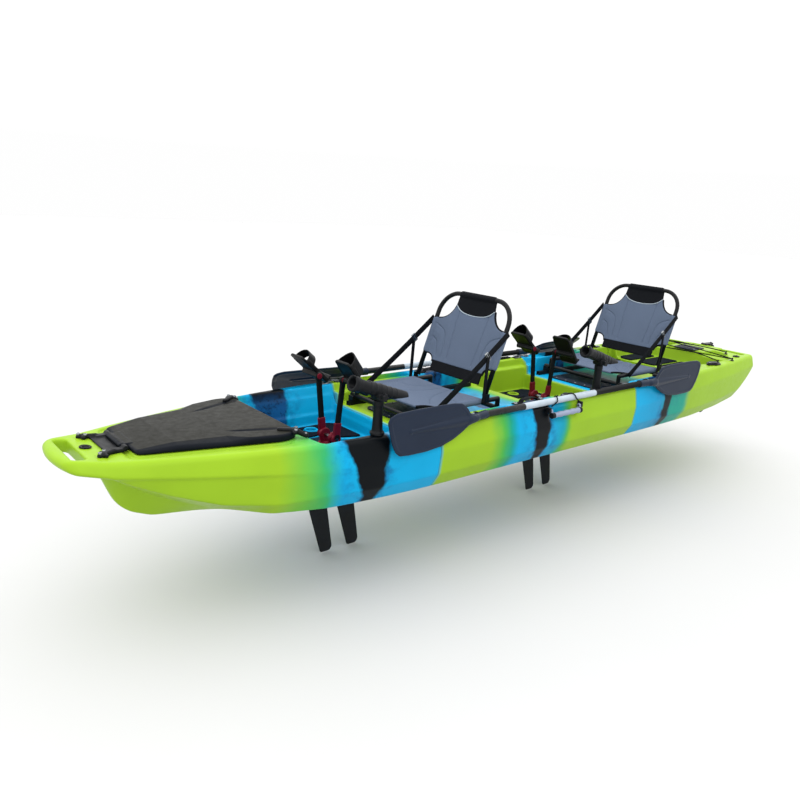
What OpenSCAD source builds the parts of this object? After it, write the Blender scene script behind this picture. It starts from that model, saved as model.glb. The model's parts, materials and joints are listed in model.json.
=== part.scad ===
// Tandem pedal kayak in three joined sections, with seats, fin drives, paddles, rudder and deck fittings.
// Bow at -X, stern at +X, port at -Y, starboard at +Y, flat of the hull bottom at z = 0.

/* [Hull] */
// Length of the bow section, lip to first seam
bow_len = 1337; // [1300:1:1400]
// Length of the middle section, seam to seam
mid_len = 1340; // [1320:1:1400]
// Length of the stern section, second seam to rudder boss
stern_len = 1438; // [1420:1:1500]
// Greatest width, over the knuckle
beam = 856; // [836:1:900]
// Height of the gunwale amidships
gunwale_h = 268; // [262:1:285]
// Wall of the moulded shell
hull_wall = 5; // [4:0.5:6]
// Half width of the square bow lip
bow_half = 140; // [120:1:165]
// Half width lost between amidships and transom
stern_drop = 80; // [50:1:100]
// How far the topsides lean in above the knuckle
lean = 15; // [8:1:22]
// Rise of the gunwale at the transom
stern_rise = 30; // [10:1:40]
// Height of the knuckle below the gunwale
knuckle_drop = 100; // [85:1:110]

/* [Cockpit] */
// Half width of the open cockpit
cockpit_half = 300; // [292:1:305]
// Height of the deck that carries the seats
deck_h = 185; // [178:1:195]
// Half width of the foot wells
well_half = 318; // [308:1:322]
// Length of a foot well
well_len = 455; // [440:1:470]
// Height of the foot well floor
well_floor = 95; // [85:1:105]
// Length of the diamond drive slot
slot_len = 390; // [370:1:400]
// Width of the diamond drive slot
slot_w = 168; // [150:1:175]
// Thickness of the foam deck pads
pad_t = 8; // [5:1:10]
// Height of the tank well floor
tank_floor = 205; // [195:1:215]

/* [Bow hatch] */
// Length of the lid behind its hinge
lid_len = 565; // [540:1:580]
// Half width of the lid at its widest
lid_half = 270; // [255:1:275]
// Height of the lid's crown above the deck
lid_h = 29; // [26:1:50]
// Thickness of the rubber seal
gasket_t = 3; // [2:0.5:4]
// Diameter of the hinge pin
lid_pin_d = 8; // [6:1:10]

/* [Fin drive] */
// Height of the crank axle above the hull bottom
axle_h = 152; // [148:1:160]
// Diameter of the crank axle
axle_d = 14; // [10:1:16]
// Length of a crank arm, axle to pedal pin
crank_len = 250; // [230:1:260]
// Diameter of a pedal pin
pedal_pin_d = 10; // [8:1:12]
// Length of a footplate
pedal_len = 170; // [150:1:180]
// Width of a footplate
pedal_w = 100; // [90:1:105]
// Depth of the fin axle below the hull bottom
fin_axis = 24; // [22:1:28]
// Diameter of the fin axle
fin_rod_d = 12; // [10:1:14]
// Distance between the two fins
fin_pitch = 140; // [136:1:146]
// Length of a fin below its axle
fin_len = 352; // [320:1:360]
// Chord of a fin at its root
fin_chord = 106; // [95:1:108]

/* [Seats] */
// Half distance between the seat rails
rail_half = 248; // [244:1:250]
// Height of a seat rail
rail_h = 20; // [16:1:24]
// Width of a seat rail
rail_w = 22; // [18:1:26]
// Length of a seat rail
rail_len = 790; // [780:1:800]
// Length of the seat pan
pan_len = 334; // [320:1:345]
// Width of the seat pan
pan_w = 430; // [410:1:434]
// Height of the pan above the seat deck
pan_h = 95; // [85:1:105]
// Diameter of the seat tubes
tube_d = 22; // [20:1:24]
// Length of the backrest along its tubes
back_len = 425; // [400:1:440]
// Rearward lean of the backrest, degrees
back_lean = 20; // [15:1:25]
// Corner radius of the backrest frame
back_r = 105; // [90:1:120]

/* [Paddles] */
// Overall length of a paddle
paddle_len = 2198; // [2150:1:2220]
// Diameter of a paddle shaft
shaft_d = 29; // [27:1:31]
// Length of a blade
blade_len = 445; // [430:1:460]
// Width of a blade
blade_w = 165; // [150:1:175]

/* [Rudder] */
// Length of the rudder blade below its pivot
rudder_len = 335; // [300:1:345]
// Width of the rudder blade
rudder_w = 126; // [110:1:130]
// Diameter of the rudder pins
rudder_pin_d = 10; // [8:1:12]

/* [Rod holders] */
// Inside diameter of the flush rod holders
flush_bore_d = 42; // [38:1:44]
// Depth of a flush rod holder
flush_depth = 190; // [170:1:195]
// Inside diameter of a tube rod holder
rod_bore_d = 40; // [36:1:42]
// Length of a tube rod holder
rod_len = 260; // [230:1:270]
// Height of a tube rod holder's post
rod_post = 132; // [125:1:140]

/* [Fits] */
// Radial play of a running pin
play = 0.05; // [0.02:0.01:0.09]
// Space between parts that pass or rest without a fit
clear = 0.3; // [0.2:0.05:0.5]

/* [Hidden] */
$fn = 48;
hull_len = bow_len + mid_len + stern_len;
x_bow = -hull_len / 2;
x_stern = hull_len / 2;
seam_a = x_bow + bow_len;
seam_b = seam_a + mid_len;
edge_r = 12;
y_gun = beam / 2 - lean;
x_transom = x_stern - 27;
taper_len = 1457;
top_z = gunwale_h + stern_rise + 60;
low_z = -60;

// Deck features, measured from the end or the seam that they belong to
lip_len = 150;
stem_len = 248;
lip_rise = 15;
knuckle_rise = 55;
knuckle_end = 800;
knuckle_run = 700;
slot_a_x = x_bow + 50;
plug_a_x = x_bow + 122;
plug_r = 20;
handle_half = 114;
hinge_x = x_bow + 222;
lid_front_half = 156;
lid_aft_half = 236;
lid_skirt = 12;
lid_shoulder = 78;
lid_crown_in = 62;
lid_hollow_in = 74;
hinge_half = 99;
hinge_z = gunwale_h + gasket_t + lid_pin_d / 2 + 6;
opening_rim = 48;
slot_nose = 22;
slot_waist = 45;
well_a_end = seam_a - 16;
well_b_end = seam_b - 16;
drive_a_x = well_a_end - well_len / 2 - 3;
drive_b_x = well_b_end - well_len / 2 - 3;
drives = [drive_a_x, drive_b_x];
well_ends = [well_a_end, well_b_end];
deck_b_end = seam_b + 818;
tank_start = seam_b + 830;
tank_end = x_stern - 285;
tank_half = 292;
tank_cut = 30;
rail_a_x = seam_a + 24;
rail_b_x = seam_b + 28;
rails = [rail_a_x, rail_b_x];
rail_top = deck_h + rail_h;
cover_len = 240;
cover_half = 171;
cover_t = 8;
covers = [seam_a + 61, seam_b + 40];
tray_depth = 50;
tray_half = 32;
tray_y = (cockpit_half + y_gun) / 2;
trays = [[seam_a + 190, 275, 1], [seam_a + 190, 275, -1], [seam_b + 164, 300, 1], [seam_b + 135, 205, -1]];
cup_x = seam_b + 786;
cup_r = 30;
cup = [cup_x, half_w(cup_x) - lean - edge_r - cup_r - 8];
cup_depth = 70;
flush_r = flush_bore_d / 2 + 3;
flush_flange = 7;
flush_places = [[seam_a + 860, 57], [seam_b + 895, 46]];
flushes = [for (f = flush_places, s = [-1, 1]) [f[0], s * (half_w(f[0]) - lean - f[1])]];
stern_slot_x = x_stern - 84;
stern_slot = [131, 300];
plug_b_x = x_stern - 202;
// Boss on the transom that carries the rudder
boss_in = 60;
boss_half = 123;
boss_h = 88;
boss_low = 2;
plug_b_y = 46 + lean - half_w(plug_b_x);

// Seat places
crossbar_gap = 454;
pan_setback = 20;
bar_z = rail_top + 24;
seat_a_x = seam_a + 60;
seat_b_x = seam_b + 114;
seats = [seat_a_x, seat_b_x];
pan_z = deck_h + pan_h;
hinge_back = pan_setback + pan_len + 14;
upright_half = pan_w / 2 + 14;
hinge_pin_d = 10;
back_z = pan_z + 18;

// Paddle places
paddle_x = 80;
paddle_y = y_gun + 1;
paddle_stbd_y = y_gun - 8;
shaft_r = shaft_d / 2;
shaft_len = paddle_len - 2 * blade_len + 120;
ring_x = shaft_len / 2 - 100;
ring_out = 6;
// A paddle rests by its drip rings on the deck or on the edge where the gunwale's flat ends
function rest_z(y) = sheer(paddle_x + ring_x)
  + sqrt(pow(shaft_r + ring_out + clear, 2) - pow(max(y - y_gun + edge_r, 0), 2));
port_z = rest_z(paddle_y);
stbd_z = rest_z(paddle_stbd_y);
blade_out = beam / 2 + 9 - paddle_y;
stbd_roll = -45;
blade_t = 6;

// Fin drive places
arm_in = 43;
arm_t = 14;
arm_w = 24;
pedal_in = arm_in + arm_t + 4;
cheek_in = 26;
cheek_t = 13;
notch_deg = 6;

// Fitting places
track_y = y_gun - 35;
track_gap = 41;
track_x = flush_places[0][0] + flush_r + track_gap;
track_end_gap = 85;
track_len = seam_b - track_end_gap - track_x;
rod_y = y_gun - 53;
rods = [seam_a - 279, seam_b - 272];
latch_y = y_gun - 45;
strap_y = cockpit_half + 28;
strap_t = 3;
straps = [[seam_a + 511, 196], [seam_b + 512, 190]];
grip_x0 = seam_a + 645;
grip_x1 = seam_a + 855;
grip_axis = [y_gun + 17, gunwale_h - 22];
keeper_x = (grip_x0 + grip_x1) / 2 + 20;
lever_x = seam_b + 416;
lever_y = y_gun - 50;
lever_len = 190;
eyelets = [[984, 336, 1], [1122, 346, 1], [1272, 222, 1], [963, 334, -1], [1101, 352, -1], [1257, 232, -1]];
cord_r = 3;
ring_r = 6;
ring_bar = 2.4;
plate_setback = 215;
plate_x = x_stern - plate_setback;
plate_t = 6;
plate_half = 62;

// Shape of the hull along its length
function clamp01(v) = max(0, min(1, v));
function bow_t(x) = clamp01((x - x_bow) / taper_len);
function stern_t(x) = clamp01((x - x_stern + taper_len) / taper_len);
function half_w(x) = bow_half + (beam / 2 - bow_half) * (1 - pow(1 - bow_t(x), 2.1))
  - stern_drop * pow(stern_t(x), 2.2);
function sheer(x) = gunwale_h + stern_rise * pow(stern_t(x), 1.3)
  + lip_rise * clamp01((x_bow + lip_len - x) / lip_len);
function knuckle(x) = sheer(x) - knuckle_drop + 35 * stern_t(x)
  + knuckle_rise * clamp01((x_bow + knuckle_end - x) / knuckle_run);
slope_span = 24;
function deck_slope(x) = atan((sheer(x + slope_span / 2) - sheer(x - slope_span / 2)) / slope_span);

// Stations: place, keel height, keel half width, crease half width and height, shoulder half width
// and height; the half widths are shares of the local half width
bow_stations = [for (s = [
  [0, 240, 0.3, 0.6, 240, 0.9, 242],
  [135, 214, 0.3, 0.6, 214, 0.9, 216],
  [150, 190, 0.05, 0.25, 204, 0.9, 212],
  [172, 141, 0.05, 0.27, 184, 0.9, 202],
  [199, 64, 0.06, 0.3, 157, 0.9, 186],
  [stem_len, 18, 0.08, 0.33, 128, 0.9, 166],
  [325, -10, 0.12, 0.38, 88, 0.92, 136],
  [480, -14, 0.2, 0.47, 28, 0.935, 86],
  [660, -8, 0.45, 0.82, 12, 0.96, 64],
  [860, 0, 0.78, 0.88, 6, 0.975, 70],
  [1090, 0, 0.78, 0.88, 6, 0.975, 70]]) concat([x_bow + s[0]], [for (i = [1:6]) s[i]])];
flat_run = [0, 0.78, 0.88, 6, 0.975, 70];
function rising(up, sh) = [up, 0.78, 0.88, up + 6, 0.975, sh];
function at(x, s) = concat([x], s);
mid_stations = [for (i = [0:3]) at(seam_a + mid_len * i / 3, flat_run)];
stern_stations = [at(seam_b, flat_run), at(seam_b + 170, flat_run), at(seam_b + 340, flat_run),
  at(x_stern - 927, flat_run), at(x_stern - 757, flat_run), at(x_stern - 607, rising(6, 75)),
  at(x_stern - 457, rising(12, 80)), at(x_stern - 330, rising(23, 90)), at(x_stern - 202, rising(34, 100)),
  at(x_stern - 90, rising(114, 160)),
  at(x_stern - 33, rising(178, 205)), at(x_transom, rising(190, 212))];

// Half section at one station, drawn in by d, from the edge of the keel to the edge of the deck
function half_ring(s, d) = let (x = s[0], w = half_w(x), zk = max(knuckle(x), s[6] + 8), zg = sheer(x)) [
  [max(s[2] * w - d / 2, 2), s[1] + d],
  [max(s[3] * w - d, 4), s[4] + d],
  [s[5] * w - d, s[6] + d / 2],
  [w - d, zk],
  [w - lean - d, zg - edge_r],
  [w - lean - edge_r - d / 2, zg - d]];
function ring(s, d) = let (h = half_ring(s, d), n = len(h)) concat(
  [for (i = [0:n - 1]) [s[0], h[i][0], h[i][1]]],
  [for (i = [n - 1:-1:0]) [s[0], -h[i][0], h[i][1]]]);

module loft(rows, d = 0) {
  rings = [for (s = rows) ring(s, d)];
  n = len(rings[0]);
  m = len(rows);
  skin = [for (j = [0:m - 2], i = [0:n - 1]) let (k = (i + 1) % n)
    each [[j * n + i, (j + 1) * n + k, j * n + k], [j * n + i, (j + 1) * n + i, (j + 1) * n + k]]];
  polyhedron([for (r = rings) each r],
    concat(skin, [[for (i = [0:n - 1]) i], [for (i = [n - 1:-1:0]) (m - 1) * n + i]]));
}

// Stations between two places, with the first and last moved to them
function between(rows, x0, x1) = let (inner = [for (s = rows) if (s[0] > x0 + 1 && s[0] < x1 - 1) s]) concat(
  [at(x0, station_at(rows, x0))], inner, [at(x1, station_at(rows, x1))]);
function station_at(rows, x) = let (i = max([for (k = [0:len(rows) - 2]) rows[k][0] <= x ? k : 0]),
  t = clamp01((x - rows[i][0]) / (rows[i + 1][0] - rows[i][0])))
  [for (c = [1:6]) rows[i][c] + t * (rows[i + 1][c] - rows[i][c])];

// Upright recess with cut corners, grown by g on its walls and floor
module recess(x0, x1, y0, y1, z0, cut = 0, g = 0) {
  c = max(cut, 0.5);
  translate([0, 0, z0 - g]) linear_extrude(top_z - z0 + g) polygon([
    [x0 - g + c, y0 - g], [x1 + g - c, y0 - g], [x1 + g, y0 - g + c], [x1 + g, y1 + g - c],
    [x1 + g - c, y1 + g], [x0 - g + c, y1 + g], [x0 - g, y1 + g - c], [x0 - g, y0 - g + c]]);
}
function diamond(len, w, g = 0) = [for (s = [1, -1]) each [
  [s * (len / 2 + g), s * slot_nose], [s * slot_waist, s * (w / 2 + g)],
  [-s * slot_waist, s * (w / 2 + g)], [-s * (len / 2 + g), s * slot_nose]]];
module drive_slot(x, g = 0) {
  translate([x, 0, low_z]) linear_extrude(top_z - low_z) polygon(diamond(slot_len, slot_w, g));
}
module foot_well(x_end, g = 0) {
  recess(x_end - well_len, x_end, -well_half, well_half, well_floor, 70, g);
  drive_slot(x_end - well_len / 2 - 3, g);
}
module tray(t, g = 0) {
  y = t[2] * tray_y;
  recess(t[0], t[0] + t[1], y - tray_half, y + tray_half, gunwale_h - tray_depth, 12, g);
}

// Outline of the bow lid and of the opening under it, drawn in by d
function lid_outline(d) = [[hinge_x + 12 + d, lid_front_half - d],
  [hinge_x + lid_len - lid_shoulder, lid_half - d],
  [hinge_x + lid_len - 34, lid_half - 6 - d], [hinge_x + lid_len - d, lid_aft_half - d],
  [hinge_x + lid_len - d, d - lid_aft_half], [hinge_x + lid_len - 34, d + 6 - lid_half],
  [hinge_x + lid_len - lid_shoulder, d - lid_half], [hinge_x + 12 + d, d - lid_front_half]];

module bow_recesses(g = 0) {
  foot_well(well_a_end, g);
  recess(well_a_end - 20, seam_a + 30, -cockpit_half, cockpit_half, deck_h, 0, g);
}
module bow_section() color("yellowgreen") difference() {
  loft(between(bow_stations_full(), x_bow, seam_a));
  difference() {
    loft(between(bow_stations_full(), x_bow + stem_len, seam_a - hull_wall), hull_wall);
    bow_recesses(hull_wall);
  }
  bow_recesses();
  translate([0, 0, gunwale_h - hull_wall - 20]) linear_extrude(top_z - gunwale_h)
    polygon(lid_outline(opening_rim));
  translate([slot_a_x, -handle_half, low_z]) cube([42, 2 * handle_half, top_z - low_z]);
  drain_hole(plug_a_x, 0);
}
function bow_stations_full() = concat(bow_stations, [at(seam_a, flat_run)]);
module drain_hole(x, y) on_deck(x, y) translate([0, 0, -14]) cylinder(r = 13, h = 60);

module middle_recesses(g = 0) {
  recess(seam_a - 30, well_b_end - well_len + 60, -cockpit_half, cockpit_half, deck_h, 0, g);
  recess(well_b_end - 20, seam_b + 30, -cockpit_half, cockpit_half, deck_h, 0, g);
  foot_well(well_b_end, g);
  for (t = [trays[0], trays[1]]) tray(t, g);
}
module middle_section() color("yellowgreen") difference() {
  loft(mid_stations);
  difference() {
    loft(between(mid_stations, seam_a + hull_wall, seam_b - hull_wall), hull_wall);
    middle_recesses(hull_wall);
  }
  middle_recesses();
  cover_opening(covers[0]);
  for (i = [0, 1]) flush_hole(flushes[i]);
}
module cover_opening(x) {
  recess(x + 30, x + cover_len - 30, 30 - cover_half, cover_half - 30, deck_h - hull_wall - 2, 20);
}
module flush_hole(f) translate([f[0], f[1], deck_h - 20]) cylinder(r = flush_r + clear, h = top_z);

module stern_recesses(g = 0) {
  recess(seam_b - 30, deck_b_end, -cockpit_half, cockpit_half, deck_h, 30, g);
  recess(tank_start, tank_end, -tank_half, tank_half, tank_floor, tank_cut, g);
  for (t = [trays[2], trays[3]]) tray(t, g);
  translate([cup[0], cup[1], sheer(cup[0]) - cup_depth - g]) cylinder(r = cup_r + g, h = top_z);
  for (s = [-1, 1]) stern_handle(s, g);
}
module stern_handle(s, g = 0) {
  y = s > 0 ? stern_slot[0] : -stern_slot[1];
  translate([stern_slot_x - 20 - g, y - g, low_z])
    cube([40 + 2 * g, stern_slot[1] - stern_slot[0] + 2 * g, top_z]);
}
module stern_section() color("yellowgreen") difference() {
  union() {
    loft(stern_stations);
    translate([x_transom - boss_in, -boss_half, sheer(x_transom) - boss_h - boss_low])
      cube([x_stern - x_transom + boss_in, 2 * boss_half, boss_h]);
  }
  difference() {
    loft(between(stern_stations, seam_b + hull_wall, x_transom - 36), hull_wall);
    stern_recesses(hull_wall);
  }
  stern_recesses();
  cover_opening(covers[1]);
  for (i = [2, 3]) flush_hole(flushes[i]);
  drain_hole(plug_b_x, plug_b_y);
}

// Deck fittings stand on the deck at its own slope
module on_deck(x, y) translate([x, y, sheer(x)]) rotate([0, -deck_slope(x), 0]) children();

module latch() {
  translate([-62, -17, 0]) cube([124, 34, 3]);
  translate([-54, -11, 3]) cube([70, 22, 4]);
  translate([-20, 0, 5]) rotate([90, 0, 0]) cylinder(r = 4, h = 26, center = true);
  translate([14, -8, 3]) cube([36, 5, 3]);
  translate([14, 3, 3]) cube([36, 5, 3]);
  translate([50, 0, 5]) rotate([90, 0, 0]) cylinder(r = 4, h = 26, center = true);
}
module seam_latches() color("silver") for (x = [seam_a, seam_b], s = [-1, 1])
  translate([x, s * latch_y, max(sheer(x - 62), sheer(x + 62)) + clear]) latch();

module bow_hatch_hinge() color("black") {
  translate([hinge_x - 60, -hinge_half, gunwale_h]) cube([50, 2 * hinge_half, 6]);
  translate([hinge_x, 0, hinge_z]) rotate([90, 0, 0])
    cylinder(d = lid_pin_d, h = 2 * hinge_half, center = true);
  for (s = [-1, 1]) {
    translate([hinge_x, s * (hinge_half - 15), hinge_z]) rotate([90, 0, 0])
      cylinder(d = lid_pin_d + 8, h = 30, center = true);
    translate([hinge_x - 40, s * (hinge_half - 15) - 15, gunwale_h]) cube([40, 30, hinge_z - gunwale_h]);
  }
}
module bow_hatch_lid() color("darkslategray") {
  knuckle_half = hinge_half - 30 - clear;
  skirt_z = gunwale_h + gasket_t + clear;
  difference() {
    union() {
      hull() {
        translate([0, 0, skirt_z]) linear_extrude(lid_skirt) polygon(lid_outline(0));
        translate([0, 0, skirt_z + lid_h - gasket_t - 1]) linear_extrude(1)
          polygon(lid_outline(lid_crown_in));
      }
      translate([hinge_x, 0, hinge_z]) rotate([90, 0, 0])
        cylinder(d = lid_pin_d + 8, h = 2 * knuckle_half, center = true);
      translate([hinge_x, -knuckle_half, hinge_z - 4]) cube([26, 2 * knuckle_half, 8]);
    }
    hull() {
      translate([0, 0, skirt_z - 1]) linear_extrude(lid_skirt - 4) polygon(lid_outline(opening_rim));
      translate([0, 0, skirt_z + lid_h - gasket_t - 9]) linear_extrude(1) polygon(lid_outline(lid_hollow_in));
    }
    translate([hinge_x, 0, hinge_z]) rotate([90, 0, 0])
      cylinder(d = lid_pin_d + 2 * play, h = 2 * hinge_half, center = true);
  }
}
module hatch_gasket() color("dimgray") translate([0, 0, gunwale_h]) linear_extrude(gasket_t) difference() {
  polygon(lid_outline(12));
  polygon(lid_outline(opening_rim - 8));
}

module cover(x) recess_plate(x, x + cover_len, cover_half, 26, deck_h, cover_t);
module recess_plate(x0, x1, half, cut, z, t) translate([0, 0, z]) linear_extrude(t) polygon([
  [x0 + cut, -half], [x1 - cut, -half], [x1, cut - half], [x1, half - cut],
  [x1 - cut, half], [x0 + cut, half], [x0, half - cut], [x0, cut - half]]);
screw_r = 2.6;
module hatch_covers() color("#1d2430") {
  difference() {
    for (x = covers) cover(x);
    screw_places() cylinder(r = screw_r, h = 3 * cover_t, center = true);
  }
  on_deck(plate_x, 0) translate([-plate_half, -plate_half - 13, clear])
    cube([2 * plate_half, 2 * plate_half + 26, plate_t]);
}
module screw_places() for (x = covers) {
  for (e = [12, cover_len - 12], i = [-2:2])
    translate([x + e, i * (cover_half - 42) / 2, deck_h + cover_t]) children();
  for (e = [0.33, 0.67], s = [-1, 1])
    translate([x + e * cover_len, s * (cover_half - 12), deck_h + cover_t]) children();
}
module screw(r) {
  translate([0, 0, -cover_t]) cylinder(r = screw_r, h = cover_t);
  cylinder(r = r, h = 2.5);
}
module deck_screws() color("silver") {
  screw_places() screw(4.5);
  for (p = straps, s = [-1, 1], e = [12, p[1] - 12]) strap_frame(p, s)
    translate([e, 0, strap_t + clear]) cylinder(r = 10, h = 6);
  for (i = [-1, 1], j = [-1, 1]) on_deck(plate_x, 0)
    translate([i * (plate_half - 12), j * (plate_half + 2), plate_t + clear]) cylinder(r = 5, h = 3);
}

// Foam pads, cut around the drive slot and the pedals
pad_cut = 28;
module foot_pad(x_end, s) {
  dx = x_end - well_len / 2 - 3;
  fwd = x_end - well_len + 45;
  aft = x_end - 14;
  out = well_half - 30;
  translate([0, 0, well_floor]) linear_extrude(pad_t) polygon([[fwd, s * 62], [dx - 75, s * 104],
    [dx - 60, s * 150], [dx + 70, s * 165], [dx + 88, s * 104], [aft, s * 62], [aft, s * (out - pad_cut)],
    [aft - pad_cut, s * out], [fwd + 70, s * out], [fwd, s * (out - 66)]]);
}
module pad_rings(r, h) for (x = well_ends, s = [-1, 1])
  translate([x - 165, s * (well_half - 80), well_floor]) cylinder(r = r, h = h);
tank_pads = [[13, 151], [178, 288]];
tank_pad_end = tank_end - 22;
module foam_pads() color("#1c2230") {
  difference() {
    for (x = well_ends, s = [-1, 1]) foot_pad(x, s);
    pad_rings(34, 3 * pad_t);
  }
  for (p = tank_pads, s = [-1, 1]) translate([0, 0, tank_floor]) linear_extrude(pad_t) polygon([
    [tank_start + 24, s * p[0]], [tank_pad_end, s * p[0]], [tank_pad_end, s * (p[1] - 20)],
    [tank_pad_end - 16, s * (p[1] - 4)], [tank_start + 64, s * (p[1] - 4)],
    [tank_start + 24, s * (p[1] - 40)]]);
}
module drain_fittings() color("#20242a") {
  difference() {
    pad_rings(33, pad_t + 2);
    pad_rings(24, 3 * pad_t);
  }
  plug(plug_a_x, 0);
  plug(plug_b_x, plug_b_y);
}
module plug(x, y) on_deck(x, y) {
  translate([0, 0, clear]) cylinder(r = plug_r, h = 6);
  translate([0, 0, -11]) cylinder(r = 12.5, h = 14);
}

module seat_rails() color("#15171a") for (x = rails, s = [-1, 1]) difference() {
  translate([x, s * rail_half - rail_w / 2, deck_h]) cube([rail_len, rail_w, rail_h]);
  translate([x + 12, s * rail_half - 4, deck_h + 4]) cube([rail_len - 24, 8, rail_h]);
}
module gear_tracks() color("#15171a") for (s = [-1, 1]) difference() {
  translate([track_x, s * track_y - 11, gunwale_h + clear]) cube([track_len, 22, 9]);
  translate([track_x + 8, s * track_y - 4, gunwale_h + 3]) cube([track_len - 16, 8, 9]);
}

// Eyelets and the cords that run through them
module eyelet() {
  translate([0, 0, clear]) cylinder(r = 11, h = 3);
  translate([0, 0, ring_up]) rotate([90, 0, 0]) rotate_extrude() translate([ring_r, 0])
    circle(r = ring_bar, $fn = 16);
}
ring_up = 3 + ring_r + ring_bar;
function eye_x(e) = seam_b + e[0];
function eye_y(e) = e[2] * min(e[1], half_w(seam_b + e[0]) - lean - 16);
function eye_point(e) = [eye_x(e), eye_y(e), sheer(eye_x(e)) + ring_up];
module deck_eyelets() color("#20242a") {
  for (e = eyelets) on_deck(eye_x(e), eye_y(e)) eyelet();
  for (s = [-1, 1]) on_deck(keeper_x, s * (y_gun - 50)) eyelet();
}
function mix(a, b, t) = a + (b - a) * t;
function lift(p, dz) = [p[0], p[1], p[2] + dz];
tank_runs = [[0, 4, 2], [4, 2, 2], [2, 5, 6], [5, 1, 16], [1, 3, 16]];
function run_points(r) = let (a = eye_point(eyelets[r[0]]), b = eye_point(eyelets[r[1]]))
  [a, lift(mix(a, b, 0.3), r[2]), lift(mix(a, b, 0.7), r[2]), b];
// A keeper runs from one handle bracket over the shaft to its eyelet and back to the other bracket
keeper_r = 2.5;
function over_shaft(x, s, py, pz, a0, a1) = let (r = shaft_r + keeper_r + 2.5)
  [for (i = [0:4]) let (a = a0 + (a1 - a0) * i / 4)
    [x + i * 6, s * (py + r * cos(a)), pz + r * sin(a)]];
function keeper_route(s, py, pz) = concat([[grip_x0 + 6, s * (grip_axis[0] - 1), grip_axis[1] + 19]],
  over_shaft(grip_x0 + 36, s, py, pz, 0, 165), [[keeper_x, s * (y_gun - 50), gunwale_h + ring_up]],
  over_shaft(grip_x1 - 60, s, py, pz, 165, 0), [[grip_x1 - 6, s * (grip_axis[0] - 1), grip_axis[1] + 19]]);

// Round cord along a list of points
function unit(v) = v / max(norm(v), 1e-6);
module cord(path, r, sides = 8, up = [0.05, 0.1, 1]) {
  n = len(path);
  rings = [for (i = [0:n - 1]) let (t = unit(path[min(i + 1, n - 1)] - path[max(i - 1, 0)]),
    u = unit(cross(t, up)), v = cross(u, t))
    [for (k = [0:sides - 1]) path[i] + r * (cos(360 * k / sides) * u + sin(360 * k / sides) * v)]];
  skin = [for (j = [0:n - 2], k = [0:sides - 1]) let (q = (k + 1) % sides)
    each [[j * sides + k, j * sides + q, (j + 1) * sides + q],
      [j * sides + k, (j + 1) * sides + q, (j + 1) * sides + k]]];
  polyhedron([for (g = rings) each g],
    concat(skin, [[for (k = [sides - 1:-1:0]) k], [for (k = [0:sides - 1]) (n - 1) * sides + k]]));
}
module tank_bungee() color("#111111") for (r = tank_runs) cord(run_points(r), cord_r);
module paddle_keepers() color("#111111") {
  cord(keeper_route(-1, paddle_y, port_z), keeper_r);
  cord(keeper_route(1, paddle_stbd_y, stbd_z), keeper_r);
}

module strap_frame(p, s) on_deck(p[0] + p[1] / 2, s * strap_y) translate([-p[1] / 2, 0, 0]) children();
module strap_handles() color("#111111") for (p = straps, s = [-1, 1])
  strap_frame(p, s) translate([0, -12, clear]) cube([p[1], 24, strap_t]);

// Flush rod holders, each with a cap that swings aside on a pivot screw
cap_r = flush_r + 8;
cap_pivot = cap_r + 6;
cap_t = 5;
function flush_top(f) = max(sheer(f[0] - cap_r), sheer(f[0] + cap_r)) + clear;
module flush_rod_tubes() color("#15171a") for (f = flushes) translate([f[0], f[1], flush_top(f)]) {
  difference() {
    union() {
      cylinder(r = cap_r, h = flush_flange);
      translate([0, 0, -flush_depth]) cylinder(r = flush_r, h = flush_depth + 1);
      translate([-cap_pivot, 0, 0]) cylinder(r = 9, h = flush_flange);
      translate([-cap_pivot, -9, 0]) cube([cap_pivot - cap_r + 6, 18, flush_flange]);
    }
    translate([0, 0, 5 - flush_depth]) cylinder(d = flush_bore_d, h = flush_depth + 20);
  }
  translate([-cap_pivot, 0, 0]) cylinder(r = 4, h = flush_flange + clear + cap_t);
}
module cap(f) color("#15171a") translate([f[0], f[1], flush_top(f) + flush_flange + clear]) difference() {
  hull() {
    cylinder(r = cap_r - 3, h = cap_t, $fn = 32);
    translate([-cap_pivot, 0, 0]) cylinder(r = 9, h = cap_t, $fn = 32);
  }
  translate([-cap_pivot, 0, -1]) cylinder(r = 4 + play, h = cap_t + 2);
}
module port_forward_cap() cap(flushes[0]);
module starboard_forward_cap() cap(flushes[1]);
module port_aft_cap() cap(flushes[2]);
module starboard_aft_cap() cap(flushes[3]);

// Tube rod holders on posts
rod_tilt = 19;
rod_wall = 4;
rod_r = rod_bore_d / 2 + rod_wall;
spigot_r = 9;
module rod_holder_bases() color("#2a2e35") for (x = rods) translate([x, -rod_y, gunwale_h]) {
  translate([0, 0, x == rods[1] ? 9 + 2 * clear : clear]) cylinder(r = 26, h = 12);
  translate([0, 0, 10]) cylinder(r = 14, h = rod_post - 10);
  translate([0, 0, rod_post - 1]) cylinder(r = spigot_r, h = 12);
}
module rod_holder(x) color("#2a2e35") translate([x, -rod_y, gunwale_h + rod_post]) {
  up = rod_r / cos(rod_tilt) + 12;
  difference() {
    union() {
      translate([0, 0, up]) rotate([0, 90 + rod_tilt, 0]) cylinder(r = rod_r, h = rod_len, center = true);
      translate([0, 0, clear]) cylinder(r = 18, h = up - clear);
      for (e = [-1, 1]) translate([0, 0, up]) rotate([0, 90 + rod_tilt, 0])
        translate([0, 0, e * (rod_len / 2 - 6)]) cylinder(r = rod_r + 4, h = 12, center = true);
    }
    translate([0, 0, up]) rotate([0, 90 + rod_tilt, 0])
      cylinder(d = rod_bore_d, h = rod_len + 40, center = true);
    translate([0, 0, -1]) cylinder(r = spigot_r + play, h = 12 + 1 + clear);
  }
}
module forward_rod_holder() rod_holder(rods[0]);
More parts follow.
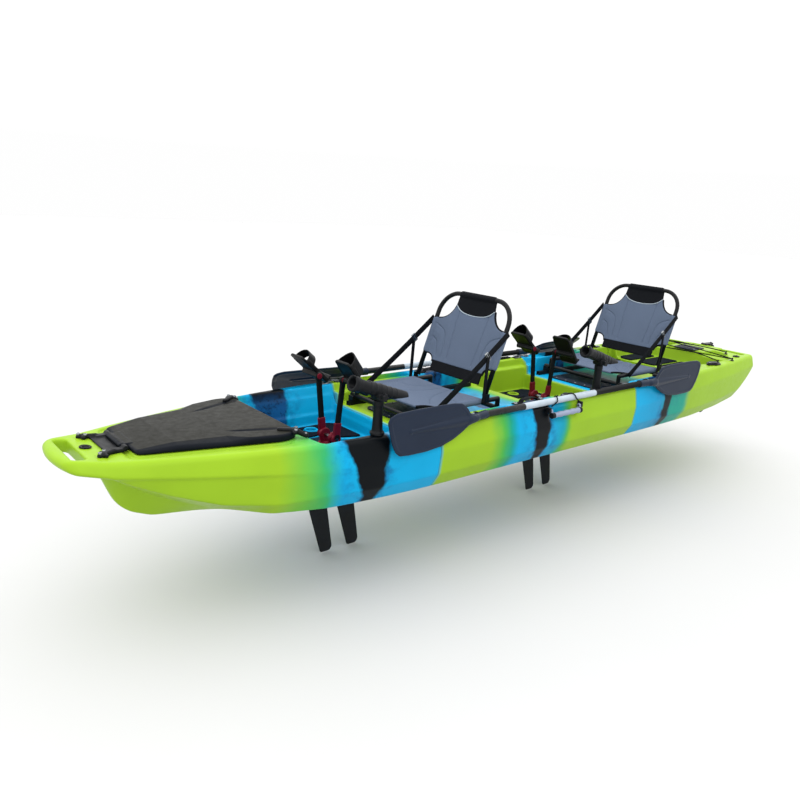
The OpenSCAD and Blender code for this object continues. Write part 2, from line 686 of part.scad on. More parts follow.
module aft_rod_holder() rod_holder(rods[1]);

// Carry handles that hang from brackets on the topsides
handle_pin_r = 4;
function side_y(z) = beam / 2 - lean * (z - gunwale_h + knuckle_drop) / (knuckle_drop - edge_r);
bracket_y = side_y(grip_axis[1] - 9) + clear;
handle_y = grip_axis[0];
module handle_brackets() color("#20242a") for (s = [-1, 1], x = [grip_x0, grip_x1]) {
  e = x == grip_x0 ? -1 : 1;
  translate([x + e * 8 - 6, s > 0 ? bracket_y : -handle_y - 8, grip_axis[1] - 9])
    cube([12, handle_y + 8 - bracket_y, 25]);
  translate([x, s * handle_y, grip_axis[1]]) rotate([0, 90, 0])
    cylinder(r = handle_pin_r, h = 22, center = true);
}
module carry_handle(s) color("#b9c0c6") {
  difference() {
    for (x = [grip_x0 + 5, grip_x1 - 5]) {
      translate([x, s * handle_y, grip_axis[1]]) rotate([0, 90, 0])
        cylinder(r = 9, h = 7, center = true);
      translate([x - 3.5, s * (handle_y + 9) - 9, grip_axis[1] - 20]) cube([7, 18, 20]);
    }
    translate([0, s * handle_y, grip_axis[1]]) rotate([0, 90, 0])
      cylinder(r = handle_pin_r + play, h = 3 * mid_len, center = true);
  }
  translate([(grip_x0 + grip_x1) / 2, s * (handle_y + 9), grip_axis[1] - 20]) rotate([0, 90, 0])
    cylinder(r = 13, h = grip_x1 - grip_x0 - 4, center = true);
}
module port_carry_handle() carry_handle(-1);
module starboard_carry_handle() carry_handle(1);

// Rudder: bracket on the boss, head that steers, blade that kicks up
steer_x = x_stern + 62;
boss_z = sheer(x_transom) - boss_low;
kick_x = steer_x + 22;
kick_z = 150;
head_gap = 26;
module rudder_bracket() color("#20242a") {
  for (z = [boss_z - 36, boss_z]) translate([0, 0, z]) linear_extrude(9) hull() {
    translate([z == boss_z ? x_transom + 2 : x_stern, -22]) square([6, 44]);
    translate([steer_x, 0]) circle(r = 16, $fn = 32);
  }
  translate([x_stern, -30, boss_z - 60]) cube([8, 60, 69]);
  translate([steer_x, 0, boss_z - 36]) cylinder(d = rudder_pin_d, h = 50);
}
module rudder_head() color("#1b1d20") {
  z0 = boss_z - 27 + clear;
  difference() {
    union() {
      translate([steer_x, 0, z0]) cylinder(r = 15, h = 27 - 2 * clear);
      translate([steer_x, -9, z0]) cube([kick_x - steer_x + 14, 18, 20]);
      translate([kick_x - 4, -9, kick_z + 24]) cube([18, 18, z0 - kick_z - 14]);
      for (s = [-1, 1]) translate([kick_x, s * 12, kick_z]) rotate([90, 0, 0])
        cylinder(r = 14, h = 6, center = true);
      for (s = [-1, 1]) translate([kick_x - 10, s * 12 - 3, kick_z]) cube([24, 6, 44]);
    }
    translate([steer_x, 0, 0]) cylinder(d = rudder_pin_d + 2 * play, h = 2 * top_z);
  }
  translate([kick_x, 0, kick_z]) rotate([90, 0, 0]) cylinder(d = rudder_pin_d, h = 30, center = true);
}
module rudder_blade() color("#1b1d20") {
  t = 16;
  difference() {
    translate([kick_x, t / 2, kick_z]) rotate([90, 0, 0]) linear_extrude(t) polygon([[-12, 12], [12, 12],
      [20, -40], [rudder_w * 0.4, -70], [rudder_w * 0.44, 60 - rudder_len], [rudder_w * 0.2, -rudder_len],
      [-rudder_w * 0.25, 8 - rudder_len], [-rudder_w * 0.56, -90], [-rudder_w * 0.42, -62], [-14, -40]]);
    translate([kick_x, 0, kick_z]) rotate([90, 0, 0])
      cylinder(d = rudder_pin_d + 2 * play, h = 60, center = true);
  }
}
lever_z = sheer(lever_x) + clear;
module steering_base() color("#20242a") translate([lever_x, -lever_y, lever_z + 1]) {
  cylinder(r = 38, h = 10);
  cylinder(r = 7, h = 28);
}
module steering_lever() color("#20242a") translate([lever_x, -lever_y, lever_z + 11 + clear]) difference() {
  union() {
    cylinder(r = 20, h = 14);
    translate([-lever_len + 20, -9, 2]) cube([lever_len - 20, 18, 9]);
    translate([-lever_len + 14, 0, 2]) cylinder(r = 14, h = 14);
  }
  translate([0, 0, -1]) cylinder(r = 7 + play, h = 30);
}

// Fin drives: spine in the slot, yoke with the crank axle, cranks, pedals and two fins
spine_top = well_floor + clear;
module drive_spines() color("#1b1d20") for (x = drives) {
  translate([x, 0, 0]) {
    translate([0, 0, -6]) linear_extrude(spine_top + 6) polygon(diamond(slot_len - 50, slot_w - 52));
    translate([-slot_len / 2 - 12, -19, spine_top]) cube([slot_len + 24, 38, 12]);
    for (e = [-1, 1]) difference() {
      translate([e * (fin_pitch - 6) - 6, -14, -fin_axis - 14]) cube([12, 28, fin_axis + 12]);
      translate([e * fin_pitch, 0, -fin_axis]) rotate([0, 90, 0])
        cylinder(d = fin_rod_d, h = 60, center = true);
    }
  }
}
module drive_yokes() color("firebrick") for (x = drives, s = [-1, 1]) translate([x, 0, 0]) difference() {
  union() {
    translate([-36, s * (cheek_in + cheek_t / 2) - cheek_t / 2, spine_top + 12])
      cube([72, cheek_t, axle_h - spine_top - 12]);
    translate([0, s * (cheek_in + cheek_t / 2), axle_h]) rotate([90, 0, 0])
      cylinder(r = 30, h = cheek_t, center = true);
    translate([-36, s > 0 ? 0 : -cheek_in - 1, spine_top + 12]) cube([72, cheek_in + 1, 8]);
  }
  translate([0, 0, axle_h]) rotate([90, 0, 0]) cylinder(d = axle_d, h = 200, center = true);
}
module drive_axles() color("silver") for (x = drives) translate([x, 0, 0]) {
  translate([0, 0, axle_h]) rotate([90, 0, 0])
    cylinder(d = axle_d, h = 2 * (arm_in + arm_t) + 6, center = true);
  translate([0, 0, -fin_axis]) rotate([0, 90, 0]) cylinder(d = fin_rod_d, h = 2 * fin_pitch, center = true);
}
// A crank stands a notch off upright, port aft and starboard forward
module crank_frame(x, s) translate([x, 0, axle_h]) rotate([0, -s * notch_deg, 0]) children();
module crank(x, s) color("#141518") crank_frame(x, s) difference() {
  union() {
    translate([0, s * (arm_in + arm_t / 2), 0]) rotate([90, 0, 0]) cylinder(r = 20, h = arm_t, center = true);
    translate([-arm_w / 2, s * (arm_in + arm_t / 2) - arm_t / 2, 0]) cube([arm_w, arm_t, crank_len]);
    translate([0, s * (arm_in + arm_t / 2), crank_len]) rotate([90, 0, 0])
      cylinder(r = 16, h = arm_t, center = true);
    translate([0, s * (pedal_in + pedal_w + 4) / 2 + s * arm_in / 2, crank_len]) rotate([90, 0, 0])
      cylinder(d = pedal_pin_d, h = pedal_in + pedal_w + 4 - arm_in, center = true);
  }
  rotate([90, 0, 0]) cylinder(d = axle_d + 2 * play, h = 2 * (arm_in + arm_t) + 20, center = true);
}
pedal_tilt = 48;
loop_r = pedal_w / 2 - 4;
module pedal(x, s) color("#1b1d20") crank_frame(x, s) translate([0, s * (pedal_in + pedal_w / 2), crank_len])
  rotate([0, pedal_tilt, 0]) difference() {
    union() {
      rotate([90, 0, 0]) cylinder(r = 11, h = pedal_w, center = true);
      translate([-pedal_len * 0.62, -pedal_w / 2, 6]) cube([pedal_len, pedal_w, 10]);
      translate([pedal_len * 0.38 - 10, -pedal_w / 2, 6]) cube([10, pedal_w, 34]);
      translate([-pedal_len * 0.36, 0, 12]) rotate([0, 90, 0]) difference() {
        cylinder(r = loop_r + 4, h = 40, center = true);
        cylinder(r = loop_r, h = 50, center = true);
        translate([0, -100, -50]) cube([100, 200, 100]);
      }
    }
    rotate([90, 0, 0]) cylinder(d = pedal_pin_d + 2 * play, h = 2 * pedal_w, center = true);
  }
module fin(x, e) color("#202327") translate([x + e * fin_pitch / 2, 0, -fin_axis]) difference() {
  union() {
    rotate([0, 90, 0]) cylinder(r = fin_rod_d / 2 + 7, h = fin_chord - 30, center = true);
    translate([0, 5, 0]) rotate([90, 0, 0]) linear_extrude(10) polygon([
      [-fin_chord / 2 + 15, -6], [fin_chord / 2 - 15, -6], [fin_chord / 2, -24],
      [fin_chord / 2 + 50, -fin_len + 16], [fin_chord / 2 + 38, -fin_len],
      [-fin_chord / 2 + 96, -fin_len], [-fin_chord / 2, -24]]);
  }
  rotate([0, 90, 0]) cylinder(d = fin_rod_d + 2 * play, h = 2 * fin_pitch, center = true);
}
module front_port_crank() crank(drive_a_x, -1);
module front_starboard_crank() crank(drive_a_x, 1);
module front_port_pedal() pedal(drive_a_x, -1);
module front_starboard_pedal() pedal(drive_a_x, 1);
module front_forward_fin() fin(drive_a_x, -1);
module front_aft_fin() fin(drive_a_x, 1);
module rear_port_crank() crank(drive_b_x, -1);
module rear_starboard_crank() crank(drive_b_x, 1);
module rear_port_pedal() pedal(drive_b_x, -1);
module rear_starboard_pedal() pedal(drive_b_x, 1);
module rear_forward_fin() fin(drive_b_x, -1);
module rear_aft_fin() fin(drive_b_x, 1);

// Seats: frame clamped to the rails, sling pan, hinged back and side straps
frame_half = rail_half + 20;
side_z = pan_z - 8;
module seat_frame(x) color("#17191c") {
  for (e = [0, crossbar_gap]) {
    translate([x + e, 0, bar_z]) rotate([90, 0, 0]) cylinder(d = tube_d, h = 2 * frame_half, center = true);
    for (s = [-1, 1]) {
      translate([x + e - 22, s * rail_half - 16, rail_top + clear]) cube([44, 32, bar_z - rail_top - clear]);
      translate([x + e, s * upright_half, bar_z]) cylinder(d = tube_d, h = side_z - bar_z);
    }
  }
  for (s = [-1, 1]) {
    translate([x, s * upright_half, side_z]) rotate([0, 90, 0]) cylinder(d = tube_d, h = crossbar_gap);
    for (e = [0, crossbar_gap]) translate([x + e, s * upright_half, side_z]) sphere(d = tube_d);
    translate([x + hinge_back - 12, s * (upright_half + 15) - 3, side_z - 6]) cube([24, 6, 40]);
    translate([x + hinge_back, s * (upright_half + 2), back_z]) rotate([90, 0, 0])
      cylinder(d = hinge_pin_d, h = 30, center = true);
    translate([x + hinge_back - 12, s * (upright_half + 6) - 12, side_z - 6]) cube([24, 24, 8]);
  }
}
module seat_pan(x) color("slategray") {
  translate([x + pan_setback, -pan_w / 2 - 1, pan_z - 14]) cube([pan_len, pan_w + 2, 12]);
  for (e = [pan_setback, pan_setback + pan_len - 30])
    translate([x + e, -upright_half + tube_d / 2 + clear, pan_z - 22])
      cube([30, 2 * upright_half - tube_d - 2 * clear, 14]);
}
// Backrest tube in its own plane, up one side, round the top corners and down the other
back_path = let (up = back_len - back_r, c = upright_half - back_r) concat([[0, -upright_half, 0]],
  [for (i = [0:6]) [0, -c - back_r * cos(15 * i), up + back_r * sin(15 * i)]],
  [for (i = [6:-1:0]) [0, c + back_r * cos(15 * i), up + back_r * sin(15 * i)]], [[0, upright_half, 0]]);
module back_frame() difference() {
  union() {
    cord(back_path, tube_d / 2, 16, [1, 0, 0]);
    for (s = [-1, 1]) translate([0, s * upright_half, 0]) rotate([90, 0, 0])
      cylinder(r = 13, h = tube_d, center = true);
  }
  rotate([90, 0, 0]) cylinder(d = hinge_pin_d + 2 * play, h = 4 * upright_half, center = true);
}
// Cloth of the back: head panel, curved shoulders and a waist above the hinge
cloth_t = 12;
cloth_half = upright_half - tube_d / 2 - clear;
cloth_edge = [[120, back_len - tube_d / 2 - clear], [130, back_len - 60], [cloth_half, back_len - back_r - 40],
  [cloth_half, 110], [cloth_half - 40, 96], [cloth_half - 48, 34]];
module back_cloth() rotate([90, 0, -90]) linear_extrude(cloth_t, center = true)
  polygon(concat(cloth_edge, [for (i = [len(cloth_edge) - 1:-1:0]) [-cloth_edge[i][0], cloth_edge[i][1]]]));
module back_place(x) translate([x + hinge_back, 0, back_z]) rotate([0, back_lean, 0]) children();
module seat_back_frame(x) color("#17191c") back_place(x) back_frame();
module seat_back_panel(x) color("slategray") back_place(x) back_cloth();
// Strap from the side of the back down to the front of the frame, clear of the tubes
strap_out = 17;
function back_at(up) = [hinge_back + up * sin(back_lean), back_z + up * cos(back_lean)];
module seat_straps(x) color("#111111") for (s = [-1, 1]) {
  top = back_at(back_len - back_r - 30);
  low = [64, side_z];
  y = s * (upright_half + strap_out);
  translate([x, y + strap_t / 2, 0]) rotate([90, 0, 0]) linear_extrude(strap_t) polygon([
    [low[0] - 14, low[1]], [low[0] + 14, low[1]], [top[0] + 8, top[1] - 16], [top[0] - 6, top[1] + 16]]);
  for (p = [low, top]) translate([x + p[0], s * (upright_half + tube_d / 2 + clear + 2.5), p[1]])
    rotate([90, 0, 0]) cylinder(r = 9, h = 5, center = true);
}
module front_seat_frame() seat_frame(seat_a_x);
module front_seat_pan() seat_pan(seat_a_x);
module front_seat_back_frame() seat_back_frame(seat_a_x);
module front_seat_back_panel() seat_back_panel(seat_a_x);
module front_seat_straps() seat_straps(seat_a_x);
module rear_seat_frame() seat_frame(seat_b_x);
module rear_seat_pan() seat_pan(seat_b_x);
module rear_seat_back_frame() seat_back_frame(seat_b_x);
module rear_seat_back_panel() seat_back_panel(seat_b_x);
module rear_seat_straps() seat_straps(seat_b_x);

// Paddles: shaft with drip rings, and a spooned blade on a neck at each end
blade_wide = 0.35;
function blade_half(t) = blade_w / 2 * (t < blade_wide ? 0.18 + 0.82 * sin(90 * t / blade_wide)
  : sqrt(1 - 0.8 * pow((t - blade_wide) / (1 - blade_wide), 2.6)));
blade_steps = 14;
module blade() {
  pts = [for (i = [0:blade_steps]) let (t = i / blade_steps) [t * blade_len, blade_half(t)]];
  translate([0, 0, -blade_t / 2]) linear_extrude(blade_t)
    polygon(concat(pts, [for (i = [blade_steps:-1:0]) [pts[i][0], -pts[i][1]]]));
}
module blade_with_neck(out) {
  root = paddle_len / 2 - blade_len;
  difference() {
    union() {
      translate([root, 0, out]) blade();
      hull() {
        translate([shaft_len / 2 - 70, 0, 0]) rotate([0, 90, 0]) cylinder(d = shaft_d + 4, h = 60, $fn = 32);
        translate([root + 90, 0, out]) rotate([0, 90, 0]) cylinder(d = 14, h = 30, $fn = 32);
      }
    }
    rotate([0, 90, 0]) cylinder(d = shaft_d + 2 * play, h = shaft_len / 2 + play);
  }
}
module drip_ring() rotate([0, 90, 0]) difference() {
  cylinder(r = shaft_r + ring_out, h = 8, center = true);
  cylinder(d = shaft_d + 2 * play, h = 10, center = true);
}
module paddle(out) {
  color("silver") rotate([0, 90, 0]) cylinder(d = shaft_d, h = shaft_len, center = true);
  for (e = [0, 1]) mirror([e, 0, 0]) {
    color("#3b4660") blade_with_neck(out);
    color("#1b1d20") translate([ring_x, 0, 0]) drip_ring();
  }
}
module port_paddle() translate([paddle_x, -paddle_y, port_z]) rotate([90, 0, 0]) paddle(blade_out);
module starboard_paddle() translate([paddle_x, paddle_stbd_y, stbd_z]) rotate([stbd_roll, 0, 0]) paddle(0);

bow_section();
middle_section();
stern_section();
seam_latches();
bow_hatch_hinge();
bow_hatch_lid();
hatch_gasket();
hatch_covers();
deck_screws();
foam_pads();
drain_fittings();
seat_rails();
gear_tracks();
tank_bungee();
deck_eyelets();
paddle_keepers();
strap_handles();
flush_rod_tubes();
port_forward_cap();
starboard_forward_cap();
port_aft_cap();
starboard_aft_cap();
rod_holder_bases();
forward_rod_holder();
aft_rod_holder();
handle_brackets();
port_carry_handle();
starboard_carry_handle();
rudder_bracket();
rudder_head();
rudder_blade();
steering_base();
steering_lever();
drive_spines();
drive_yokes();
drive_axles();
front_port_crank();
front_starboard_crank();
front_port_pedal();
front_starboard_pedal();
front_forward_fin();
front_aft_fin();
rear_port_crank();
rear_starboard_crank();
rear_port_pedal();
rear_starboard_pedal();
rear_forward_fin();
rear_aft_fin();
front_seat_frame();
front_seat_pan();
front_seat_back_frame();
front_seat_back_panel();
front_seat_straps();
rear_seat_frame();
rear_seat_pan();
rear_seat_back_frame();
rear_seat_back_panel();
rear_seat_straps();
port_paddle();
starboard_paddle();
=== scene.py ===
# Tandem pedal kayak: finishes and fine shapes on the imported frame
import bpy
import functools
import json
import math
import numpy as np
import openvdb as vdb
from mathutils import Matrix, Vector


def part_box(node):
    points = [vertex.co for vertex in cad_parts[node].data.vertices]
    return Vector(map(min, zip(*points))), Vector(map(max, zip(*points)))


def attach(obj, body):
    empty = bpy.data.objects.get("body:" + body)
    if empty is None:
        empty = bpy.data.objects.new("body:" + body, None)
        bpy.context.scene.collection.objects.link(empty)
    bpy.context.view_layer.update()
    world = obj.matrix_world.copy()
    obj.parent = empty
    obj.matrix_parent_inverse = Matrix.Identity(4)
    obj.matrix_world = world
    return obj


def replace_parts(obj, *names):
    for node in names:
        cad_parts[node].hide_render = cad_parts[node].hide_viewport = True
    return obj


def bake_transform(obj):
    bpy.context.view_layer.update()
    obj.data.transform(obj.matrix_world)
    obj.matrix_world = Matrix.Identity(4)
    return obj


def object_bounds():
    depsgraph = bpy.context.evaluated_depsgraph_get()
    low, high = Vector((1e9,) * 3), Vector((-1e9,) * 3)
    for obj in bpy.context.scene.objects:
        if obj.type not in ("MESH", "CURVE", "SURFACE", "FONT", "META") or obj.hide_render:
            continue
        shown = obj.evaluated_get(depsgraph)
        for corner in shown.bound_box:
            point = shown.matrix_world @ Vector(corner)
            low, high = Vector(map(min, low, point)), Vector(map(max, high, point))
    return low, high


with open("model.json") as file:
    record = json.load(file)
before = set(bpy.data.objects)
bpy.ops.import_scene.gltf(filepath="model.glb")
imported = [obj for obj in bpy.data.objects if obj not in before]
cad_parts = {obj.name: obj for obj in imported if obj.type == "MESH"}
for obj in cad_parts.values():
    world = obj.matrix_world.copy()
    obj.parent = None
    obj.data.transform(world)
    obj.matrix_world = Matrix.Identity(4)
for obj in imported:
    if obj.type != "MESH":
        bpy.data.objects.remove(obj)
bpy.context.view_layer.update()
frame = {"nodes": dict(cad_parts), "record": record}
nodes = frame["nodes"]
scene = bpy.context.scene
print("frame loaded:", len(nodes), "nodes")

# Places taken from the frame, in millimetres
mm = 0.001
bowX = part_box("bow_section")[0].x / mm
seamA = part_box("middle_section")[0].x / mm
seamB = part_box("middle_section")[1].x / mm
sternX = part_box("stern_section")[1].x / mm
transomX = sternX - 27
gunwale = 268.0
clear = 0.3  # between a fitting and its seat
driveX = {"front": seamA - 246.5, "rear": seamB - 246.5}
wellEnd = {"front": seamA - 16, "rear": seamB - 16}
seatX = {"front": seamA + 60, "rear": seamB + 114}
flanks = ((-1, "Port"), (1, "Starboard"))
hands = ((-1, "port"), (1, "starboard"))


# Fields: negative inside a solid, in millimetres
def gridAxes(lo, hi, step):
    x, y, z = (np.arange(a, b + step / 2, step, dtype=np.float32) for a, b in zip(lo, hi))
    return x[:, None, None], y[None, :, None], z[None, None, :]


def smoothMax(a, b, k):
    return np.maximum(a, b) + np.maximum(k - np.abs(a - b), 0) ** 2 / (4 * k)


def smoothMin(a, b, k):
    return -smoothMax(-a, -b, k)


def away(*offsets):
    return np.sqrt(sum(v ** 2 for v in offsets))


def blurred(f, reach, axes=(0, 1, 2)):
    n = int(reach)
    for axis in axes:
        pad = [(0, 0)] * f.ndim
        pad[axis] = (n + 1, n)
        run = np.cumsum(np.pad(f, pad, mode="edge"), axis, dtype=np.float64)
        size = run.shape[axis]
        high = np.take(run, range(2 * n + 1, size), axis)
        low = np.take(run, range(0, size - 2 * n - 1), axis)
        f = ((high - low) / (2 * n + 1)).astype(np.float32)
    return f


def boxField(x, y, z, centre, half, r=0):
    q = [np.abs(a - c) - h + r for a, c, h in zip((x, y, z), centre, half)]
    out = np.sqrt(sum(np.maximum(v, 0) ** 2 for v in q))
    return out + np.minimum(np.maximum(np.maximum(q[0], q[1]), q[2]), 0) - r


def rodField(x, y, z, a, b, r, r2=None):
    a, b = np.array(a, float), np.array(b, float)
    d = b - a
    t = np.clip(((x - a[0]) * d[0] + (y - a[1]) * d[1] + (z - a[2]) * d[2]) / (d @ d), 0, 1)
    gap = away(x - a[0] - t * d[0], y - a[1] - t * d[1], z - a[2] - t * d[2])
    return gap - (r + ((r if r2 is None else r2) - r) * t)


def barrelField(x, y, z, a, b, r):
    a, b = np.array(a, float), np.array(b, float)
    axis = (b - a) / np.linalg.norm(b - a)
    t = (x - a[0]) * axis[0] + (y - a[1]) * axis[1] + (z - a[2]) * axis[2]
    gap = np.sqrt(np.maximum((x - a[0]) ** 2 + (y - a[1]) ** 2 + (z - a[2]) ** 2 - t * t, 0)) - r
    return np.maximum(gap, np.maximum(-t, t - np.linalg.norm(b - a)))


def segmentGap(x, y, a, b):
    # Squared distance to the line from a to b
    dx, dy = b[0] - a[0], b[1] - a[1]
    t = np.clip(((x - a[0]) * dx + (y - a[1]) * dy) / (dx * dx + dy * dy + 1e-9), 0, 1)
    return (x - a[0] - t * dx) ** 2 + (y - a[1] - t * dy) ** 2


def lineGap(x, y, line):
    gaps = [segmentGap(x, y, a, b) for a, b in zip(line, line[1:])]
    return np.sqrt(functools.reduce(np.minimum, gaps))


def polygonField(x, y, points):
    closed = points + points[:1]
    inside = False
    for (ax, ay), (bx, by) in zip(closed, closed[1:]):
        if ay != by:
            inside = inside ^ (((ay > y) != (by > y)) & (x < (bx - ax) * (y - ay) / (by - ay) + ax))
    gap = lineGap(x, y, closed)
    return np.where(inside, -gap, gap).astype(np.float32)


def sampled(f, p):
    i = np.clip(np.floor(p).astype(int), 0, np.array(f.shape) - 2)
    t = p - i
    value = 0
    for corner in range(8):
        o = np.array([corner & 1, corner >> 1 & 1, corner >> 2])
        share = np.prod(np.where(o, t, 1 - t), axis=1)
        value = value + share * f[tuple((i + o).T)]
    return value


def meshObject(name, points, faces):
    mesh = bpy.data.meshes.new(name)
    mesh.from_pydata([tuple(p) for p in points], [], [tuple(f) for f in faces])
    mesh.update()
    obj = bpy.data.objects.new(name, mesh)
    scene.collection.objects.link(obj)
    return obj


def settle(obj):
    # The modifiers' result becomes the piece's own mesh
    result = bpy.data.meshes.new_from_object(obj.evaluated_get(bpy.context.evaluated_depsgraph_get()))
    obj.modifiers.clear()
    obj.data = result
    return obj


def fieldPiece(name, f, lo, step, faces, place=None):
    grid = vdb.FloatGrid()
    grid.copyFromArray(np.ascontiguousarray(f, np.float32))
    points, quads = grid.convertToQuads()
    mesh = bpy.data.meshes.new(name)
    mesh.vertices.add(len(points))
    mesh.vertices.foreach_set("co", points.astype(np.float32).ravel())
    mesh.loops.add(4 * len(quads))
    mesh.loops.foreach_set("vertex_index", quads.astype(np.int32).ravel())
    mesh.polygons.add(len(quads))
    mesh.polygons.foreach_set("loop_start", np.arange(0, 4 * len(quads), 4, dtype=np.int32))
    mesh.update(calc_edges=True)
    obj = bpy.data.objects.new(name, mesh)
    scene.collection.objects.link(obj)
    if 2 * len(quads) > faces:
        thin = obj.modifiers.new("thin", "DECIMATE")
        thin.ratio = faces / (2 * len(quads))
        settle(obj)
    mesh = obj.data
    co = np.empty(3 * len(mesh.vertices), np.float32)
    mesh.vertices.foreach_get("co", co)
    co = co.reshape(-1, 3)
    steps = np.eye(3) * 0.75
    normal = np.stack([sampled(f, co + s) - sampled(f, co - s) for s in steps], 1)
    normal /= np.maximum(np.linalg.norm(normal, axis=1, keepdims=True), 1e-6)
    mesh.vertices.foreach_set("co", ((co * step + np.array(lo)) * mm).astype(np.float32).ravel())
    mesh.update()
    mesh.shade_smooth()
    mesh.normals_split_custom_set_from_vertices([tuple(n) for n in normal])
    if place is not None:
        obj.matrix_world = place
    return obj


# Hull: the station tables of the moulding, smoothed along the length
hull = {"beam": 856, "bowHalf": 140, "sternDrop": 80, "lean": 15, "sternRise": 30, "knuckleDrop": 100,
        "taper": 1457, "edge": 12, "step": 4.0, "faces": 70000, "seamGap": 1.2,
        "knuckleRise": 55, "knuckleEnd": 800, "knuckleRun": 700, "tuck": 9, "knuckleStern": 35, "bowRise": 15,
        "bowRun": 150, "round": 24}
# place from the bow, keel height, then half widths as shares and heights of keel, crease and shoulder
bowRows = [[0, 240, 0.3, 0.6, 240, 0.9, 242], [135, 214, 0.3, 0.6, 214, 0.9, 216],
           [150, 190, 0.05, 0.25, 204, 0.9, 212], [172, 141, 0.05, 0.27, 184, 0.9, 202],
           [199, 64, 0.06, 0.3, 157, 0.9, 186], [248, 18, 0.08, 0.33, 128, 0.9, 166],
           [325, -10, 0.12, 0.38, 88, 0.92, 136], [480, -14, 0.2, 0.47, 28, 0.935, 86],
           [660, -8, 0.45, 0.82, 12, 0.96, 64], [860, 0, 0.78, 0.88, 6, 0.975, 70]]
sternRows = [[-757, 0, 70], [-607, 6, 75], [-457, 12, 80], [-330, 23, 90], [-202, 34, 100], [-90, 114, 160],
             [-33, 178, 205], [-27, 190, 212], [40, 240, 250]]
stations = [[bowX - 60] + bowRows[0][1:]] + [[bowX + r[0]] + r[1:] for r in bowRows]
stations += [[sternX + r[0], r[1], 0.78, 0.88, r[1] + 6, 0.975, r[2]] for r in sternRows]
stations = np.array(stations)


def clamp01(v):
    return np.clip(v, 0, 1)


def sternShare(x):
    return clamp01((x - sternX + hull["taper"]) / hull["taper"])


def halfWidth(x):
    bowShare = clamp01((x - bowX) / hull["taper"])
    wide = (hull["beam"] / 2 - hull["bowHalf"]) * (1 - (1 - bowShare) ** 2.1)
    return hull["bowHalf"] + wide - hull["sternDrop"] * sternShare(x) ** 2.2


def sheer(x):
    bow = hull["bowRise"] * clamp01((bowX + hull["bowRun"] - x) / hull["bowRun"])
    return gunwale + hull["sternRise"] * sternShare(x) ** 1.3 + bow


def deckZ(x):
    return float(sheer(x))


def hullRing(x):
    fine = np.arange(bowX - 60, sternX + 60, 4.0)
    wide, top = halfWidth(x), sheer(x)
    values = []
    for c in range(1, 7):
        line = np.interp(fine, stations[:, 0], stations[:, c])
        for _ in range(3):
            line = np.convolve(np.pad(line, 3, mode="edge"), np.ones(7) / 7, "valid")
        values.append(np.interp(x, fine, line))
    keelZ, keelW, creaseW, creaseZ, shoulderW, shoulderZ = values
    bowNear = clamp01((bowX + hull["knuckleEnd"] - x) / hull["knuckleRun"])
    knuckleZ = top - hull["knuckleDrop"] + hull["knuckleStern"] * sternShare(x)
    knuckleZ = np.maximum(knuckleZ + hull["knuckleRise"] * bowNear, shoulderZ + 8)
    tuck = hull["tuck"] * np.minimum(1, bowNear * 3)
    edge, lean = hull["edge"], hull["lean"]
    zero = np.zeros_like(x)
    return [(zero, keelZ), (np.maximum(keelW * wide, 2), keelZ), (np.maximum(creaseW * wide, 4), creaseZ),
            (shoulderW * wide, shoulderZ), (wide - tuck, knuckleZ - 4), (wide, knuckleZ),
            (wide - lean, top - edge), (wide - lean - edge, top), (zero, top)]


def outerField(x, y, z):
    # Signed distance to the ring in each slice, mirrored over the centre line
    ring = hullRing(x[:, 0, 0].astype(float))
    half = np.abs(y[:, y.shape[1] // 2:])
    near, inside = None, None
    for (ay, az), (by, bz) in zip(ring, ring[1:]):
        ay, az, by, bz = (v[:, None, None].astype(np.float32) for v in (ay, az, by, bz))
        dy, dz = by - ay, bz - az
        t = np.clip(((half - ay) * dy + (z - az) * dz) / (dy * dy + dz * dz + 1e-6), 0, 1)
        gap = (half - ay - t * dy) ** 2 + (z - az - t * dz) ** 2
        near = gap if near is None else np.minimum(near, gap)
        level = np.where(np.abs(dz) < 1e-4, 1e-4, dz)
        hit = ((az > z) != (bz > z)) & (half < dy * (z - az) / level + ay)
        inside = hit if inside is None else inside ^ hit
    f = np.where(inside, -np.sqrt(near), np.sqrt(near)).astype(np.float32)
    return np.concatenate([f[:, :0:-1], f], 1)


class Carver:
    # Cuts and adds shapes on one block of the field, each inside its own window
    def __init__(self, lo, hi, step):
        self.axes, self.lo, self.step = gridAxes(lo, hi, step), lo, step

    def window(self, lo, hi):
        cut = [slice(*np.searchsorted(a.ravel(), (l, h))) for a, l, h in zip(self.axes, lo, hi)]
        x, y, z = self.axes
        return tuple(cut), (x[cut[0]], y[:, cut[1]], z[:, :, cut[2]])

    def cut(self, lo, hi, shape, k=8):
        at, axes = self.window(lo, hi)
        if all(a.size for a in axes):
            self.f[at] = smoothMax(self.f[at], -shape(*axes), k)

    def add(self, lo, hi, shape, k=8):
        at, axes = self.window(lo, hi)
        if all(a.size for a in axes):
            self.f[at] = smoothMin(self.f[at], shape(*axes), k)

    def pit(self, outline, floor, k=8, draft=0.08, soft=3, top=340):
        # Recess with sloping walls and rounded plan corners
        xs, ys = [p[0] for p in outline], [p[1] for p in outline]
        reach = 45
        lo, hi = (min(xs) - reach, min(ys) - reach, floor - 30), (max(xs) + reach, max(ys) + reach, top)
        self.cut(lo, hi, lambda x, y, z: smoothMax(
            blurred(polygonField(x, y, outline), soft, (0, 1)) - draft * (z - floor), floor - z, k), k)

    def hole(self, cx, cy, r, low, k=4, top=340):
        reach = r + 20
        self.cut((cx - reach, cy - reach, low - 20), (cx + reach, cy + reach, top),
                 lambda x, y, z: np.maximum(away(x - cx, y - cy) - r, low - z), k)


def reachTo(s, lo, hi):
    # The block given for starboard, on the side s
    return (lo[0], min(s * lo[1], s * hi[1]), lo[2]), (hi[0], max(s * lo[1], s * hi[1]), hi[2])


